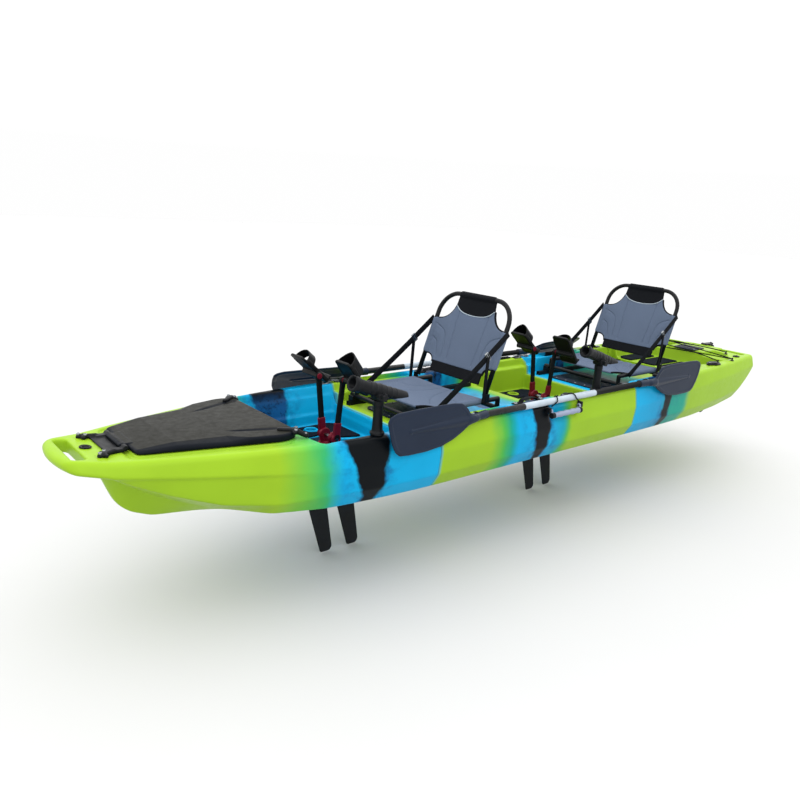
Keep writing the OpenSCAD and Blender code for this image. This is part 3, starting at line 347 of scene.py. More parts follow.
def both(points):
    return [points, [(x, -y) for x, y in points]]


well = {"floor": 95, "half": 306, "ledge": 226, "ledgeHalf": 336, "slot": (390, 168), "rim": 9, "scupper": 22,
        "length": 455, "scupperBack": 165, "scupperOut": 238}
deck = {"seat": 185, "seatHalf": 300, "tank": 205}


def diamond(cx, grow=0):
    length, wide = well["slot"]
    side = [(length / 2 + grow, 22), (45, wide / 2 + grow), (-45, wide / 2 + grow), (-length / 2 - grow, 22)]
    return [(cx + x, y) for x, y in side] + [(cx - x, -y) for x, y in side]


def frontArc(x0, bulge, half, x1):
    # Well outline with a forward curve at its front edge
    n = 12
    front = [(x0 - bulge * (1 - (i / n * 2 - 1) ** 2), half * (i / n * 2 - 1)) for i in range(n + 1)]
    return front + [(x1, half), (x1, -half)]


def footWell(c, which):
    end, cx = wellEnd[which], driveX[which]
    start = end - well["length"]
    if which == "front":
        c.pit(frontArc(start - 26, 22, well["ledgeHalf"], end + 4), well["ledge"], 10, 0.3)
        c.pit(frontArc(start - 4, 18, well["half"] + 8, end + 2), 150, 10, 0.25)
        c.pit(frontArc(start + 18, 12, well["half"], end), well["floor"], 14, 0.05)
    else:
        c.pit([(start + 10, -296), (start + 10, 296), (start + 86, 342), (end + 6, 342), (end + 6, -342),
               (start + 86, -342)], well["ledge"], 10, 0.2)
        c.pit([(start + 2, -236), (start + 2, 236), (start + 76, well["half"]), (end, well["half"]),
               (end, -well["half"]), (start + 76, -well["half"])], well["floor"], 14, 0.08)
    rim = diamond(cx, 14)
    floor = well["floor"]
    c.add((cx - 260, -140, floor - 20), (cx + 260, 140, floor + 40), lambda x, y, z: smoothMax(
        np.abs(polygonField(x, y, rim)) - 11, z - floor - well["rim"], 6), 8)
    c.cut((cx - 240, -120, -60), (cx + 240, 120, 130), lambda x, y, z: polygonField(x, y, diamond(cx))
          + np.zeros_like(z), 6)
    for s in (-1, 1):
        sx, sy = end - well["scupperBack"], s * well["scupperOut"]
        c.add((sx - 60, sy - 60, floor - 20), (sx + 60, sy + 60, floor + 40), lambda x, y, z: smoothMax(
            away(x - sx, y - sy) - 32, z - floor - 11, 5), 4)
        c.hole(sx, sy, well["scupper"], -60, 5)


def seatDeck(c, x0, x1):
    y = deck["seatHalf"]
    c.pit([(x0, -y), (x0, y), (x1, y), (x1, -y)], deck["seat"], 10, 0.1, 2)


lid = {"hinge": bowX + 222, "outline": [(12, 156), (487, 270), (531, 264), (565, 236)], "skirt": 271.3,
       "pin": 281}
trays = [(seamA + 190, 275, 1), (seamA + 122, 343, -1), (seamB + 164, 300, 1), (seamB + 135, 205, -1)]
flushPlaces = [(seamA + 860, 57), (seamB + 895, 46)]


def lidOutline(inset):
    side = [(lid["hinge"] + x + (inset if i == 0 else -inset if i == 3 else 0), y - inset)
            for i, (x, y) in enumerate(lid["outline"])]
    return side + [(x, -y) for x, y in side[::-1]]


def bowDetails(c):
    footWell(c, "front")
    seatDeck(c, wellEnd["front"] - 24, seamA + 60)
    # hold under the lid, kept inside the shell
    mouth, outer = lidOutline(48), c.f.copy()
    c.f = smoothMax(c.f, -np.maximum(np.maximum(polygonField(*c.axes[:2], mouth), 40 - c.axes[2]), np.minimum(
        outer + 14, gunwale - 16 - c.axes[2])), 5)
    # gutter round the lid, which ends short of the well
    c.cut((lid["hinge"] - 20, -320, 240), (lid["hinge"] + 620, 320, 300), lambda x, y, z: smoothMax(smoothMax(
        np.abs(blurred(polygonField(x, y, lidOutline(0)), 4, (0, 1)) - 12) - 9, 260 - z, 6),
        x - lid["hinge"] - 515, 12), 6)
    # hand slot in the lip
    c.cut((bowX + 20, -150, 150), (bowX + 130, 150, 330), lambda x, y, z: boxField(
        x, y, z, (bowX + 71, 0, 240), (21, 114, 200), 16), 12)


def middleDetails(c):
    seatDeck(c, seamA - 60, wellEnd["rear"] - well["length"] + 60)
    seatDeck(c, wellEnd["rear"] - 24, seamB + 60)
    footWell(c, "rear")
    for outline in both([(seamA - 40, 296), (seamA - 40, 338), (seamA + 34, 338), (seamA + 86, 296)]):
        c.pit(outline, 232, 8, 0.3)
    cup = [(116, 384), (188, 384), (180, 330), (152, 300), (124, 330)]
    c.pit([(seamA + x, y) for x, y in cup], 246, 6, 0.3)


def sternDetails(c):
    seatDeck(c, seamB - 60, seamB + 818)
    for outline in both([(seamB - 40, 296), (seamB - 40, 346), (seamB + 20, 346), (seamB + 84, 296)]):
        c.pit(outline, 232, 8, 0.3)
    c.pit([(seamB + 826, -262), (seamB + 870, -294), (sternX - 305, -294), (sternX - 283, -272),
           (sternX - 283, 272), (sternX - 305, 294), (seamB + 870, 294), (seamB + 826, 262)],
          deck["tank"], 8, 0.25)
    for outline in both([(sternX - 300, 300), (sternX - 283, 306), (sternX - 165, 206), (sternX - 140, 130),
                         (sternX - 300, 130)]):
        c.pit(outline, 268, 8, 0.3)
    c.hole(seamB + 786, halfWidth(seamB + 786) - 65, 32, deckZ(seamB + 786) - 70, 8)
    c.add((sternX - 110, -160, 180), (sternX + 20, 160, 330), lambda x, y, z: boxField(
        x, y, z, (sternX - 50, 0, deckZ(transomX) - 46), (50, 123, 44), 12), 14)
    c.cut((sternX - 100, -100, 240), (sternX, 100, 330), lambda x, y, z: boxField(
        x, y, z, (sternX - 52, 0, deckZ(transomX) + 20), (22, 66, 46), 8), 6)
    for s in (-1, 1):
        lo, hi = reachTo(s, (sternX - 160, 110, 0), (sternX - 20, 325, 340))
        c.cut(lo, hi, lambda x, y, z: boxField(x + (np.abs(y) - 215) * 0.16, np.abs(y), z,
                                               (sternX - 80, 215, 150), (19, 86, 300), 14), 10)


def sharedDetails(c):
    for x0, length, s in trays:
        low, high = (324, 388) if s > 0 else (-388, -324)
        c.pit([(x0, low), (x0, high), (x0 + length, high), (x0 + length, low)], 218, 6, 0.1, 2)
    for fx, inset in flushPlaces:
        for s in (-1, 1):
            c.hole(fx, s * (halfWidth(fx) - hull["lean"] - inset), 25.5, deckZ(fx) - 196, 3)
    # scoop behind the carry handle
    for s in (-1, 1):
        lo, hi = reachTo(s, (seamA + 600, 380, 170), (seamA + 900, 470, 262))
        c.cut(lo, hi, lambda x, y, z: boxField(x, np.abs(y), z, (seamA + 750, 446, 222), (92, 30, 26), 14),
              18)


def hullSection(name, node, x0, x1, details):
    step = hull["step"]
    lo, hi = (x0 - 5 * step, -110 * step, -30), (x1 + 5 * step, 110 * step, 322)
    c = Carver(lo, hi, step)
    x, y, z = c.axes
    f = blurred(blurred(outerField(x, y, z), 1), 1)
    f = smoothMax(f, bowX + hull["round"] * (y / hull["bowHalf"]) ** 2 - x, 36)
    f = smoothMax(f, x - transomX, 24)
    c.f = f
    details(c)
    sharedDetails(c)
    gap = hull["seamGap"] / 2
    if x0 > bowX + 1:
        c.f = smoothMax(c.f, x0 + gap - x, 5)
    if x1 < sternX - 1:
        c.f = smoothMax(c.f, x - x1 + gap, 5)
    obj = fieldPiece(name, c.f, lo, step, hull["faces"])
    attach(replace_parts(obj, node), "hull")
    print(name, len(obj.data.polygons), "faces")
    return obj


sections = [hullSection("bowShell", "bow_section", bowX, seamA, bowDetails),
            hullSection("middleShell", "middle_section", seamA, seamB, middleDetails),
            hullSection("sternShell", "stern_section", seamB, sternX, sternDetails)]


# Finishes, all made of nodes
def tint(r, g, b):
    return [v / 255 / 12.92 if v < 11 else ((v / 255 + 0.055) / 1.055) ** 2.4 for v in (r, g, b)] + [1]


class Finish:
    # A material with its shader, and short ways to add and join nodes
    def __init__(self, name, rough, metal=0.0, shine=0.5):
        self.mat = bpy.data.materials.new(name)
        self.mat.use_nodes = True
        self.tree = self.mat.node_tree
        self.shader = self.tree.nodes["Principled BSDF"]
        self.shader.inputs["Roughness"].default_value = rough
        self.shader.inputs["Metallic"].default_value = metal
        self.shader.inputs["Specular IOR Level"].default_value = shine

    def add(self, kind, settings=(), **inputs):
        node = self.tree.nodes.new("ShaderNode" + kind)
        for key, value in dict(settings).items():
            setattr(node, key, value)
        for key, value in inputs.items():
            self.join(value, node.inputs[int(key[1:]) if key[0] == "i" and key[1:].isdigit() else key])
        return node

    def join(self, value, socket):
        if isinstance(value, bpy.types.NodeSocket):
            self.tree.links.new(value, socket)
        else:
            socket.default_value = value

    def math(self, operation, *values):
        node = self.add("Math", {"operation": operation})
        for i, value in enumerate(values):
            self.join(value, node.inputs[i])
        return node.outputs[0]

    def remap(self, value, low, high, to0=0.0, to1=1.0):
        return self.add("MapRange", i0=value, i1=low, i2=high, i3=to0, i4=to1).outputs[0]

    def noise(self, place, scale, detail=3.0, rough=0.55):
        return self.add("TexNoise", Vector=place, Scale=scale, Detail=detail, Roughness=rough).outputs[0]

    def ramp(self, value, stops):
        node = self.add("ValToRGB", Fac=value)
        band = node.color_ramp
        while len(band.elements) < len(stops):
            band.elements.new(1.0)
        for element, (at, colour) in zip(band.elements, stops):
            element.position, element.color = at, colour
        return node.outputs[0]

    def blend(self, share, a, b):
        node = self.add("Mix", {"data_type": "RGBA"})
        self.join(share, node.inputs[0])
        self.join(a, node.inputs[6])
        self.join(b, node.inputs[7])
        return node.outputs[2]

    def bump(self, height, strength, distance):
        node = self.add("Bump", Strength=strength, Distance=distance, Height=height)
        self.join(node.outputs[0], self.shader.inputs["Normal"])

    def place(self):
        return self.add("TexCoord").outputs["Object"]


def grained(name, colour, rough, metal=0.0, vary=0.10, patches=9.0, grain=420.0, depth=0.12,
            spread=0.08, shine=0.3):
    # Moulded or painted finish: faint patches in colour and gloss, and a fine grain
    f = Finish(name, rough, metal, shine)
    where = f.place()
    patch = f.noise(where, patches, 4.0)
    dark = [c * (1 - vary) for c in colour[:3]] + [1]
    light = [min(1, c * (1 + vary) + 0.001) for c in colour[:3]] + [1]
    f.join(f.ramp(patch, [(0.3, dark), (0.7, light)]), f.shader.inputs["Base Color"])
    gloss = f.noise(where, patches * 5, 5.0)
    f.join(f.remap(gloss, 0.3, 0.7, max(rough - spread, 0.05), rough + spread), f.shader.inputs["Roughness"])
    f.bump(f.noise(where, grain, 2.0), depth, 0.0012)
    return f


def woven(name, colour, rough, pitch, depth, shade=0.25, shine=0.2, slant=0.0):
    # Cloth and webbing: crossed threads of the given pitch in metres, with painted shade: colour darker
    # between the threads and lighter on them, in step with the bump; the slow fading is real tone
    f = Finish(name, rough, 0.0, shine)
    where = f.place()
    x, y, z = f.add("SeparateXYZ", Vector=where).outputs
    along = f.math("ADD", x, z)
    turn = 2 * math.pi / pitch
    warp = f.math("SINE", f.math("MULTIPLY", f.math("MULTIPLY_ADD", along, slant, y), turn))
    weft = f.math("SINE", f.math("MULTIPLY", f.math("MULTIPLY_ADD", y, -slant, along), turn))
    thread = f.remap(f.math("MULTIPLY", warp, weft), -1.0, 1.0)
    fade = f.noise(where, 7.0, 4.0)
    # painted shade: the thread height used for the bump also darkens the colour between the threads
    share = f.math("MULTIPLY_ADD", f.math("SUBTRACT", fade, 0.5), 0.5, thread)
    dark = [c * (1 - shade) for c in colour[:3]] + [1]
    light = [min(1, c * (1 + shade)) for c in colour[:3]] + [1]
    f.join(f.ramp(share, [(0.0, dark), (1.0, light)]), f.shader.inputs["Base Color"])
    f.join(f.remap(thread, 0.0, 1.0, rough + 0.08, rough - 0.06), f.shader.inputs["Roughness"])
    f.bump(thread, depth, pitch * 0.25)
    return f.mat


def hullFinish():
    lime, green, teal = tint(139, 176, 36), tint(66, 160, 66), tint(6, 144, 124)
    cyan, deep = tint(7, 154, 202), tint(5, 9, 13)
    stops = [(-2058, lime), (-1400, lime), (-1290, tint(100, 174, 62)), (-1225, tint(52, 163, 92)),
             (-1165, cyan), (seamA - 2, cyan), (seamA + 1, lime), (-440, lime), (-350, green), (-300, teal),
             (-262, cyan), (-50, cyan), (40, tint(10, 146, 166)), (76, green), (104, lime),
             (seamB - 1, lime), (seamB + 2, cyan), (860, tint(8, 136, 180)), (965, teal), (1105, teal),
             (1150, lime), (2058, lime)]
    f = Finish("hullPlastic", 0.36, 0.0, 0.1)
    where = f.place()
    axes = f.add("SeparateXYZ", Vector=where).outputs
    drift = f.math("MULTIPLY", f.math("SUBTRACT", f.noise(where, 5.0, 3.0), 0.5), 0.10)
    # the seams keep their straight edge: the drift fades out beside them
    beside = [f.remap(f.math("ABSOLUTE", f.math("SUBTRACT", axes[0], s * mm)), 0.02, 0.12)
              for s in (seamA, seamB)]
    drift = f.math("MULTIPLY", drift, f.math("MULTIPLY", *beside))
    along = f.math("ADD", axes[0], drift)
    low, high = bowX * mm - 0.001, sternX * mm + 0.001
    share = f.remap(along, low, high)
    base = f.ramp(share, [((x * mm - low) / (high - low), c) for x, c in stops])
    # slanted black bands: centre and half width at the gunwale, and what they gain on the way down
    masks = []
    ragged = f.math("MULTIPLY", f.math("SUBTRACT", f.noise(where, 14.0, 4.0), 0.5), 0.05)
    down = f.math("SUBTRACT", gunwale * mm, axes[2])
    for centre, half, lean, taper in ((-1.058, 0.094, 0.11, 0.24), (-0.118, 0.062, 0.11, 0.11),
                                      (0.916, 0.044, 0.02, 0.05)):
        mid = f.math("MULTIPLY_ADD", down, lean, centre)
        wide = f.math("SUBTRACT", half, f.math("MULTIPLY", down, taper))
        off = f.math("SUBTRACT", f.math("ADD", axes[0], ragged), mid)
        gap = f.math("SUBTRACT", f.math("ABSOLUTE", off), wide)
        masks.append((f.remap(gap, 0.006, -0.010), f.remap(gap, 0.10, 0.0)))
    band = f.math("MAXIMUM", masks[0][0], f.math("MAXIMUM", masks[1][0], masks[2][0]))
    halo = f.math("MAXIMUM", masks[0][1], f.math("MAXIMUM", masks[1][1], masks[2][1]))
    stain = f.math("MULTIPLY", halo, f.remap(f.noise(where, 16.0, 6.0, 0.65), 0.46, 0.66, 0.0, 0.75))
    colour = f.blend(stain, base, tint(14, 74, 128))
    inner = f.remap(f.math("ABSOLUTE", axes[1]), 0.350, 0.325)
    fleck = f.math("MULTIPLY", inner, f.remap(f.noise(where, 26.0, 6.0, 0.7), 0.34, 0.52))
    colour = f.blend(band, colour, f.blend(fleck, deep, tint(14, 78, 132)))
    # faint cloudiness of rotomoulded plastic
    cloud = f.remap(f.noise(where, 7.0, 2.0), 0.3, 0.7, 0.97, 1.03)
    colour = f.add("Mix", {"data_type": "RGBA", "blend_type": "MULTIPLY"}, Factor=1.0, i6=colour,
                   i7=cloud).outputs[2]
    f.join(colour, f.shader.inputs["Base Color"])
    f.join(f.remap(f.noise(where, 40.0, 5.0), 0.3, 0.7, 0.28, 0.42), f.shader.inputs["Roughness"])
    f.bump(f.noise(where, 260.0, 2.0), 0.10, 0.0012)
    return f.mat


def lidFinishPaintedShade():
    # Olive top, with painted shade: a dark blue-black wherever the surface tilts away from straight up, so on
    # the sloping flanks and in the creases
    f = grained("lidPlastic", tint(28, 28, 23), 0.42, grain=700, depth=0.25, shine=0.06)
    base = f.shader.inputs["Base Color"]
    top = base.links[0].from_socket
    rise = f.add("SeparateXYZ", Vector=f.add("TexCoord").outputs["Normal"]).outputs[2]
    # painted shade: the dark tint takes over as the shading normal leans away from vertical
    f.join(f.blend(f.remap(rise, 0.966, 0.988), tint(13, 17, 24), top), base)
    return f.mat


finishes = {
    "hull_shell": hullFinish(),
    "lid_plastic": lidFinishPaintedShade(),
    "cover_plastic": grained("coverPlastic", tint(23, 31, 44), 0.42, grain=600, depth=0.2, shine=0.12).mat,
    "black_plastic": grained("blackPlastic", tint(17, 19, 22), 0.4, shine=0.12).mat,
    "bright_steel": grained("brightSteel", tint(134, 138, 142), 0.26, 1.0, 0.05).mat,
    "seal_rubber": grained("sealRubber", tint(15, 16, 17), 0.7, shine=0.08).mat,
    "pad_foam": grained("padFoam", tint(17, 22, 31), 0.9, vary=0.14, patches=160, grain=900, depth=0.6,
                        shine=0.05).mat,
    "bungee_cord": woven("bungeeCord", tint(13, 14, 16), 0.7, 0.0026, 0.6, 0.4, 0.08, 0.6),
    "webbing": woven("webbing", tint(16, 18, 22), 0.75, 0.0032, 0.6, 0.3, 0.08),
    "grip_plastic": grained("gripPlastic", tint(166, 178, 188), 0.35, shine=0.2).mat,
    "handle_grip": grained("handleGrip", tint(132, 140, 162), 0.4, shine=0.15).mat,
    "drive_red": grained("driveRed", tint(108, 12, 34), 0.36, 0.2, 0.12, shine=0.2).mat,
    "lever_yellow": grained("leverYellow", tint(186, 150, 20), 0.4).mat,
    "drive_black": grained("driveBlack", tint(13, 14, 16), 0.38, shine=0.12).mat,
    "fin_rubber": grained("finRubber", tint(30, 32, 34), 0.55, depth=0.25, shine=0.08).mat,
    "seat_tube": grained("seatTube", tint(13, 14, 16), 0.34, shine=0.16).mat,
    "seat_mesh": woven("seatCloth", tint(88, 100, 120), 0.8, 0.0036, 0.5, 0.14, 0.08),
    "paddle_parts": grained("paddlePlastic", tint(26, 36, 53), 0.3, vary=0.04, depth=0.01, spread=0.02,
                            shine=0.14).mat,
}
for obj in sections:
    obj.data.materials.append(finishes["hull_shell"])
for part in frame["record"]["subparts"]:
    cad = nodes[part["node"]]
    cad.data.materials.clear()
    cad.data.materials.append(finishes[part["material_slot"]])
print("finishes:", len(finishes))


# Shapes along a line
def smoothPath(points, per=8):
    # Rounded run through the points
    p = [np.array(q, float) for q in points]
    p = [2 * p[0] - p[1]] + p + [2 * p[-1] - p[-2]]
    out = []
    for a, b, c, d in zip(p, p[1:], p[2:], p[3:]):
        for i in range(per):
            t = i / per
            out.append(0.5 * (2 * b + (c - a) * t + (2 * a - 5 * b + 4 * c - d) * t * t
                              + (3 * b - 3 * c + d - a) * t ** 3))
    return out + [p[-2]]


def strip(i, n):
    # Faces between ring i and the next, of n points each
    return [(i * n + k, i * n + (k + 1) % n, (i + 1) * n + (k + 1) % n, (i + 1) * n + k) for k in range(n)]


def swept(name, path, section, up):
    # Section points (across, up) carried along the path, in millimetres
    path = [np.array(p, float) for p in path]
    n, m = len(path), len(section)
    points, faces = [], []
    for i, p in enumerate(path):
        ahead = path[min(i + 1, n - 1)] - path[max(i - 1, 0)]
        ahead = ahead / np.linalg.norm(ahead)
        across = np.cross(ahead, up)
        across = across / np.linalg.norm(across)
        rise = np.cross(across, ahead)
        points += [(p + a * across + b * rise) * mm for a, b in section]
    for i in range(n - 1):
        faces += strip(i, m)
    faces += [tuple(range(m))[::-1], tuple((n - 1) * m + k for k in range(m))]
    obj = meshObject(name, points, faces)
    obj.data.shade_smooth()
    return obj


def ringSection(r, sides=20):
    turn = [2 * math.pi * k / sides for k in range(sides)]
    return [(r * math.cos(a), r * math.sin(a)) for a in turn]


def bandSection(width, thick):
    w, t, c = width / 2, thick / 2, thick * 0.35
    low = [(-w, -t + c), (-w + c, -t), (w - c, -t), (w, -t + c)]
    return low + [(a, -b) for a, b in low[::-1]]


def turned(name, profile, sides=48):
    # Profile of (along X, radius) turned about the X axis
    points = [(x * mm, r * mm * math.cos(2 * math.pi * k / sides), r * mm * math.sin(2 * math.pi * k / sides))
              for x, r in profile for k in range(sides)]
    faces = [face for i in range(len(profile) - 1) for face in strip(i, sides)]
    faces += [tuple(range(sides)), tuple((len(profile) - 1) * sides + k for k in range(sides))[::-1]]
    obj = meshObject(name, points, [f[::-1] for f in faces])
    obj.data.shade_smooth()
    return obj


def sharpen(obj, degrees=35):
    obj.data.set_sharp_from_angle(angle=math.radians(degrees))
    return obj


def dress(obj, finish, body, *replaced, slot=None):
    obj.data.materials.clear()
    obj.data.materials.append(finishes[finish])
    if replaced:
        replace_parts(obj, *replaced)
    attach(obj, body)
    return obj


taken = set()


def once(node):
    # The first piece that asks stands for the CAD node
    if node in taken:
        return []
    taken.add(node)
    return [node]


# Bow hatch lid: flat crown, sloped front, rolled edge and pressed creases
lidShape = {"crown": 297, "front": 283, "rise": 0.11, "step": 2.5, "wall": 5, "faces": 30000}


def bowLid():
    x0, skirt = lid["hinge"], lid["skirt"]
    lo, hi = (x0 - 30, -290, 260), (x0 + 590, 290, 312)
    x, y, z = gridAxes(lo, hi, lidShape["step"])
    edge = blurred(blurred(polygonField(x, y, lidOutline(0)), 6, (0, 1)), 4, (0, 1))
    side = np.interp(x, [x0, x0 + 10, x0 + 314, x0 + 404, x0 + 500], [120, 134, 183, 256, 320])
    top = np.minimum(lidShape["crown"], lidShape["front"] + lidShape["rise"] * (x - x0 - 12))
    top = top - 0.26 * np.maximum(np.abs(y) - side, 0)
    # a crease on each side that widens on its way aft
    a, b = (x0 + 325, 132), (x0 + 532, 205)
    t = np.clip(((x - a[0]) * (b[0] - a[0]) + (np.abs(y) - a[1]) * (b[1] - a[1]))
                / ((b[0] - a[0]) ** 2 + (b[1] - a[1]) ** 2), 0, 1)
    gap = lineGap(x, np.abs(y), [a, b])
    top = top - 5 * np.exp(-(gap / (3 + 12 * t)) ** 2) * np.minimum(t * 4, 1)
    body = smoothMax(smoothMax(edge, z - top, 12), skirt - z, 3)
    inner = smoothMax(edge + 40, z - top + lidShape["wall"] + 3, 8)
    body = smoothMax(body, -inner, 3)
    tab = boxField(x, y, z, (x0 + 10, 0, lid["pin"]), (24, 68, 6), 5)
    barrel = barrelField(x, y, z, (x0, -68, lid["pin"]), (x0, 68, lid["pin"]), 9)
    body = smoothMin(body, smoothMin(tab, barrel, 4), 6)
    obj = fieldPiece("bowLid", body, lo, lidShape["step"], lidShape["faces"])
    return dress(obj, "lid_plastic", "bow_hatch_lid", "bow_hatch_lid")


bowLid()
print("bow lid made")

# Small parts set on the hull
upright = Matrix.Rotation(math.radians(-90), 4, "Y")


def at(x, y, z):
    return Matrix.Translation(Vector((x, y, z)) * mm)


def onDeck(x, y):
    slope = math.atan2(deckZ(x + 12.0) - deckZ(x - 12.0), 24)
    return at(x, y, deckZ(x)) @ Matrix.Rotation(-slope, 4, "Y")


def solid(name, lo, hi, step, faces, shape, place=None):
    # Piece from a field given as a function of the three axes
    axes = gridAxes(lo, hi, step)
    f = np.array(np.broadcast_to(shape(*axes), tuple(a.size for a in axes)), np.float32)
    return fieldPiece(name, f, lo, step, faces, place)


def copies(name, source, places):
    # One mesh repeated at several places
    co = [v.co.copy() for v in source.data.vertices]
    shapes = [tuple(p.vertices) for p in source.data.polygons]
    points, faces = [], []
    for place in places:
        base = len(points)
        points += [place @ c for c in co]
        faces += [tuple(base + i for i in f) for f in shapes]
    bpy.data.objects.remove(source)
    obj = meshObject(name, points, faces)
    obj.data.shade_smooth()
    return sharpen(obj, 42)


def studs(name, places, r, h):
    # Domed socket heads
    head = turned(name + "Head", [(-2, r), (h * 0.45, r), (h * 0.8, r * 0.88), (h, r * 0.6), (h, r * 0.45),
                                  (h * 0.55, r * 0.42)], 20)
    return copies(name, head, [p @ upright for p in places])


def planBox(x, y, hx, hy, r):
    qx, qy = np.abs(x) - hx + r, np.abs(y) - hy + r
    return np.sqrt(np.maximum(qx, 0) ** 2 + np.maximum(qy, 0) ** 2) + np.minimum(np.maximum(qx, qy), 0) - r


# Seats: tube back, sling panels with pressed lines, head panel, straps
seat = {"hingeBack": 368, "backZ": 298, "lean": 20, "upright": 229, "backLen": 425, "corner": 105, "tube": 11,
        "panZ": 280, "setback": 20, "panLen": 334, "sag": 9, "cloth": 9.0, "step": 2.5, "slider": 0.7,
        "hollow": 12, "notch": 66, "notchOut": 232, "strapSag": 5}


def hollow(y):
    # How far the sling sags behind its tubes
    return seat["hollow"] * (1 - (y / seat["upright"]) ** 2)


def backPlace(which):
    at = Vector((seatX[which] + seat["hingeBack"], 0, seat["backZ"])) * mm
    return Matrix.Translation(at) @ Matrix.Rotation(math.radians(seat["lean"]), 4, "Y")


def pressed(x, y, lines, deep=3.4, wide=3.2):
    # Depth of the pressed lines, and the swell between them
    gap = functools.reduce(np.minimum, [lineGap(x, y, line) for line in lines])
    return deep * np.exp(-(gap / wide) ** 2), 2.5 * (1 - np.exp(-(gap / 30) ** 2))


def smoothLine(points, per=6):
    return [tuple(p[:2]) for p in smoothPath([(a, b, 0) for a, b in points], per)]


headSeam = smoothLine([(-124, 372), (-96, 350), (-60, 338), (0, 333), (60, 338), (96, 350), (124, 372)])
shoulder = smoothLine([(124, 372), (134, 344), (154, 316), (182, 298), (216, 290)])
hip = smoothLine([(216, 116), (192, 112), (174, 98), (166, 78)])


def mirrored(line):
    return [(-a, b) for a, b in line[::-1]]


def backPanel(which):
    step = seat["step"]
    lo, hi = (-34, -252, 20), (34, 252, 444)
    x, y, z = gridAxes(lo, hi, step)
    grey = headSeam + shoulder[1:] + hip[:-2] + mirrored(hip[:-2]) + mirrored(shoulder)[:-1]
    ink = [smoothLine([(s * 96, 352), (s * 92, 240), (s * 84, 108)]) for s in (-1, 1)]
    ink += [smoothLine([(s * 210, 262), (s * 152, 234), (s * 130, 178), (s * 126, 108)]) for s in (-1, 1)]
    ink += [smoothLine([(s * 210, 196), (s * 178, 174), (s * 158, 112)]) for s in (-1, 1)]
    groove, swell = pressed(y, z, ink)
    sag = hollow(y)
    half = seat["cloth"] / 2
    slab = np.maximum(sag - half - swell + groove - x, x - sag - half)
    flat = polygonField(y, z, grey)
    body = smoothMax(slab, flat, 5)
    for s in (-1, 1):
        edge = s * seat["upright"]
        body = smoothMin(body, rodField(x, y, z, (0, edge, 126), (0, edge, 280), 14), 14)
    return fieldPiece(which + "SeatBack", body, lo, step, 20000, backPlace(which))


def headPanel(which):
    step = seat["step"]
    lo, hi = (-34, -160, 300), (34, 160, 452)
    x, y, z = gridAxes(lo, hi, step)
    outline = headSeam + [(118, 418), (108, 434), (-108, 434), (-118, 418)]
    sag = hollow(y) * np.clip((425 - z) / 90, 0, 1)
    slab = np.abs(x - sag) - 5.5
    body = smoothMax(slab, polygonField(y, z, outline), 4)
    body = smoothMin(body, rodField(x, y, z, (0, -102, 425), (0, 102, 425), 15), 8)
    return fieldPiece(which + "SeatHead", body, lo, step, 9000, backPlace(which))


def lowBand(which):
    step = seat["step"]
    lo, hi = (-24, -200, 14), (34, 200, 132)
    x, y, z = gridAxes(lo, hi, step)
    outline = [(-166, 34), (166, 34), (166, 78), (174, 100), (-174, 100), (-166, 78)]
    sag = hollow(y)
    body = smoothMax(np.abs(x - sag - 0.5) - 4.5, polygonField(y, z, outline), 4)
    return fieldPiece(which + "SeatBand", body, lo, step, 5000, backPlace(which))


def onBack(points, lift):
    # Points (across, up) of the back's plane, lifted to its front face
    return [(hollow(a) - lift, a, b) for a, b in points]


def seatBack(which):
    body, name = which + "_seat_back", which + "_seat_"
    up, c, r = seat["backLen"] - seat["corner"], seat["upright"] - seat["corner"], seat["corner"]
    turn = [math.radians(a) for a in range(0, 91, 9)]
    path = [(0, -seat["upright"], -2)] + [(0, -c - r * math.cos(a), up + r * math.sin(a)) for a in turn]
    path += [(0, c + r * math.cos(a), up + r * math.sin(a)) for a in turn[::-1]] + [(0, seat["upright"], -2)]
    tube = swept(which + "SeatHoop", path, ringSection(seat["tube"], 24), (1, 0, 0))
    tube.matrix_world = backPlace(which)
    dress(tube, "seat_tube", body, name + "back_frame")
    panel = dress(backPanel(which), "seat_mesh", body, name + "back_panel")
    head = dress(headPanel(which), "webbing", body)
    band = dress(lowBand(which), "webbing", body)
    trim = swept(which + "SeatPiping", onBack(headSeam, 6.5), ringSection(2.2, 10), (1, 0, 0))
    trim.matrix_world = backPlace(which)
    dress(trim, "grip_plastic", body, slot="seat_mesh")
    for s, side in flanks:
        for line, part in ((shoulder, "Shoulder"), (hip, "Hip")):
            edge = swept(which + "Seat" + part + side, onBack([(s * a, b) for a, b in line], 0),
                         ringSection(5.5, 12), (1, 0, 0))
            edge.matrix_world = backPlace(which)
            dress(edge, "webbing", body)


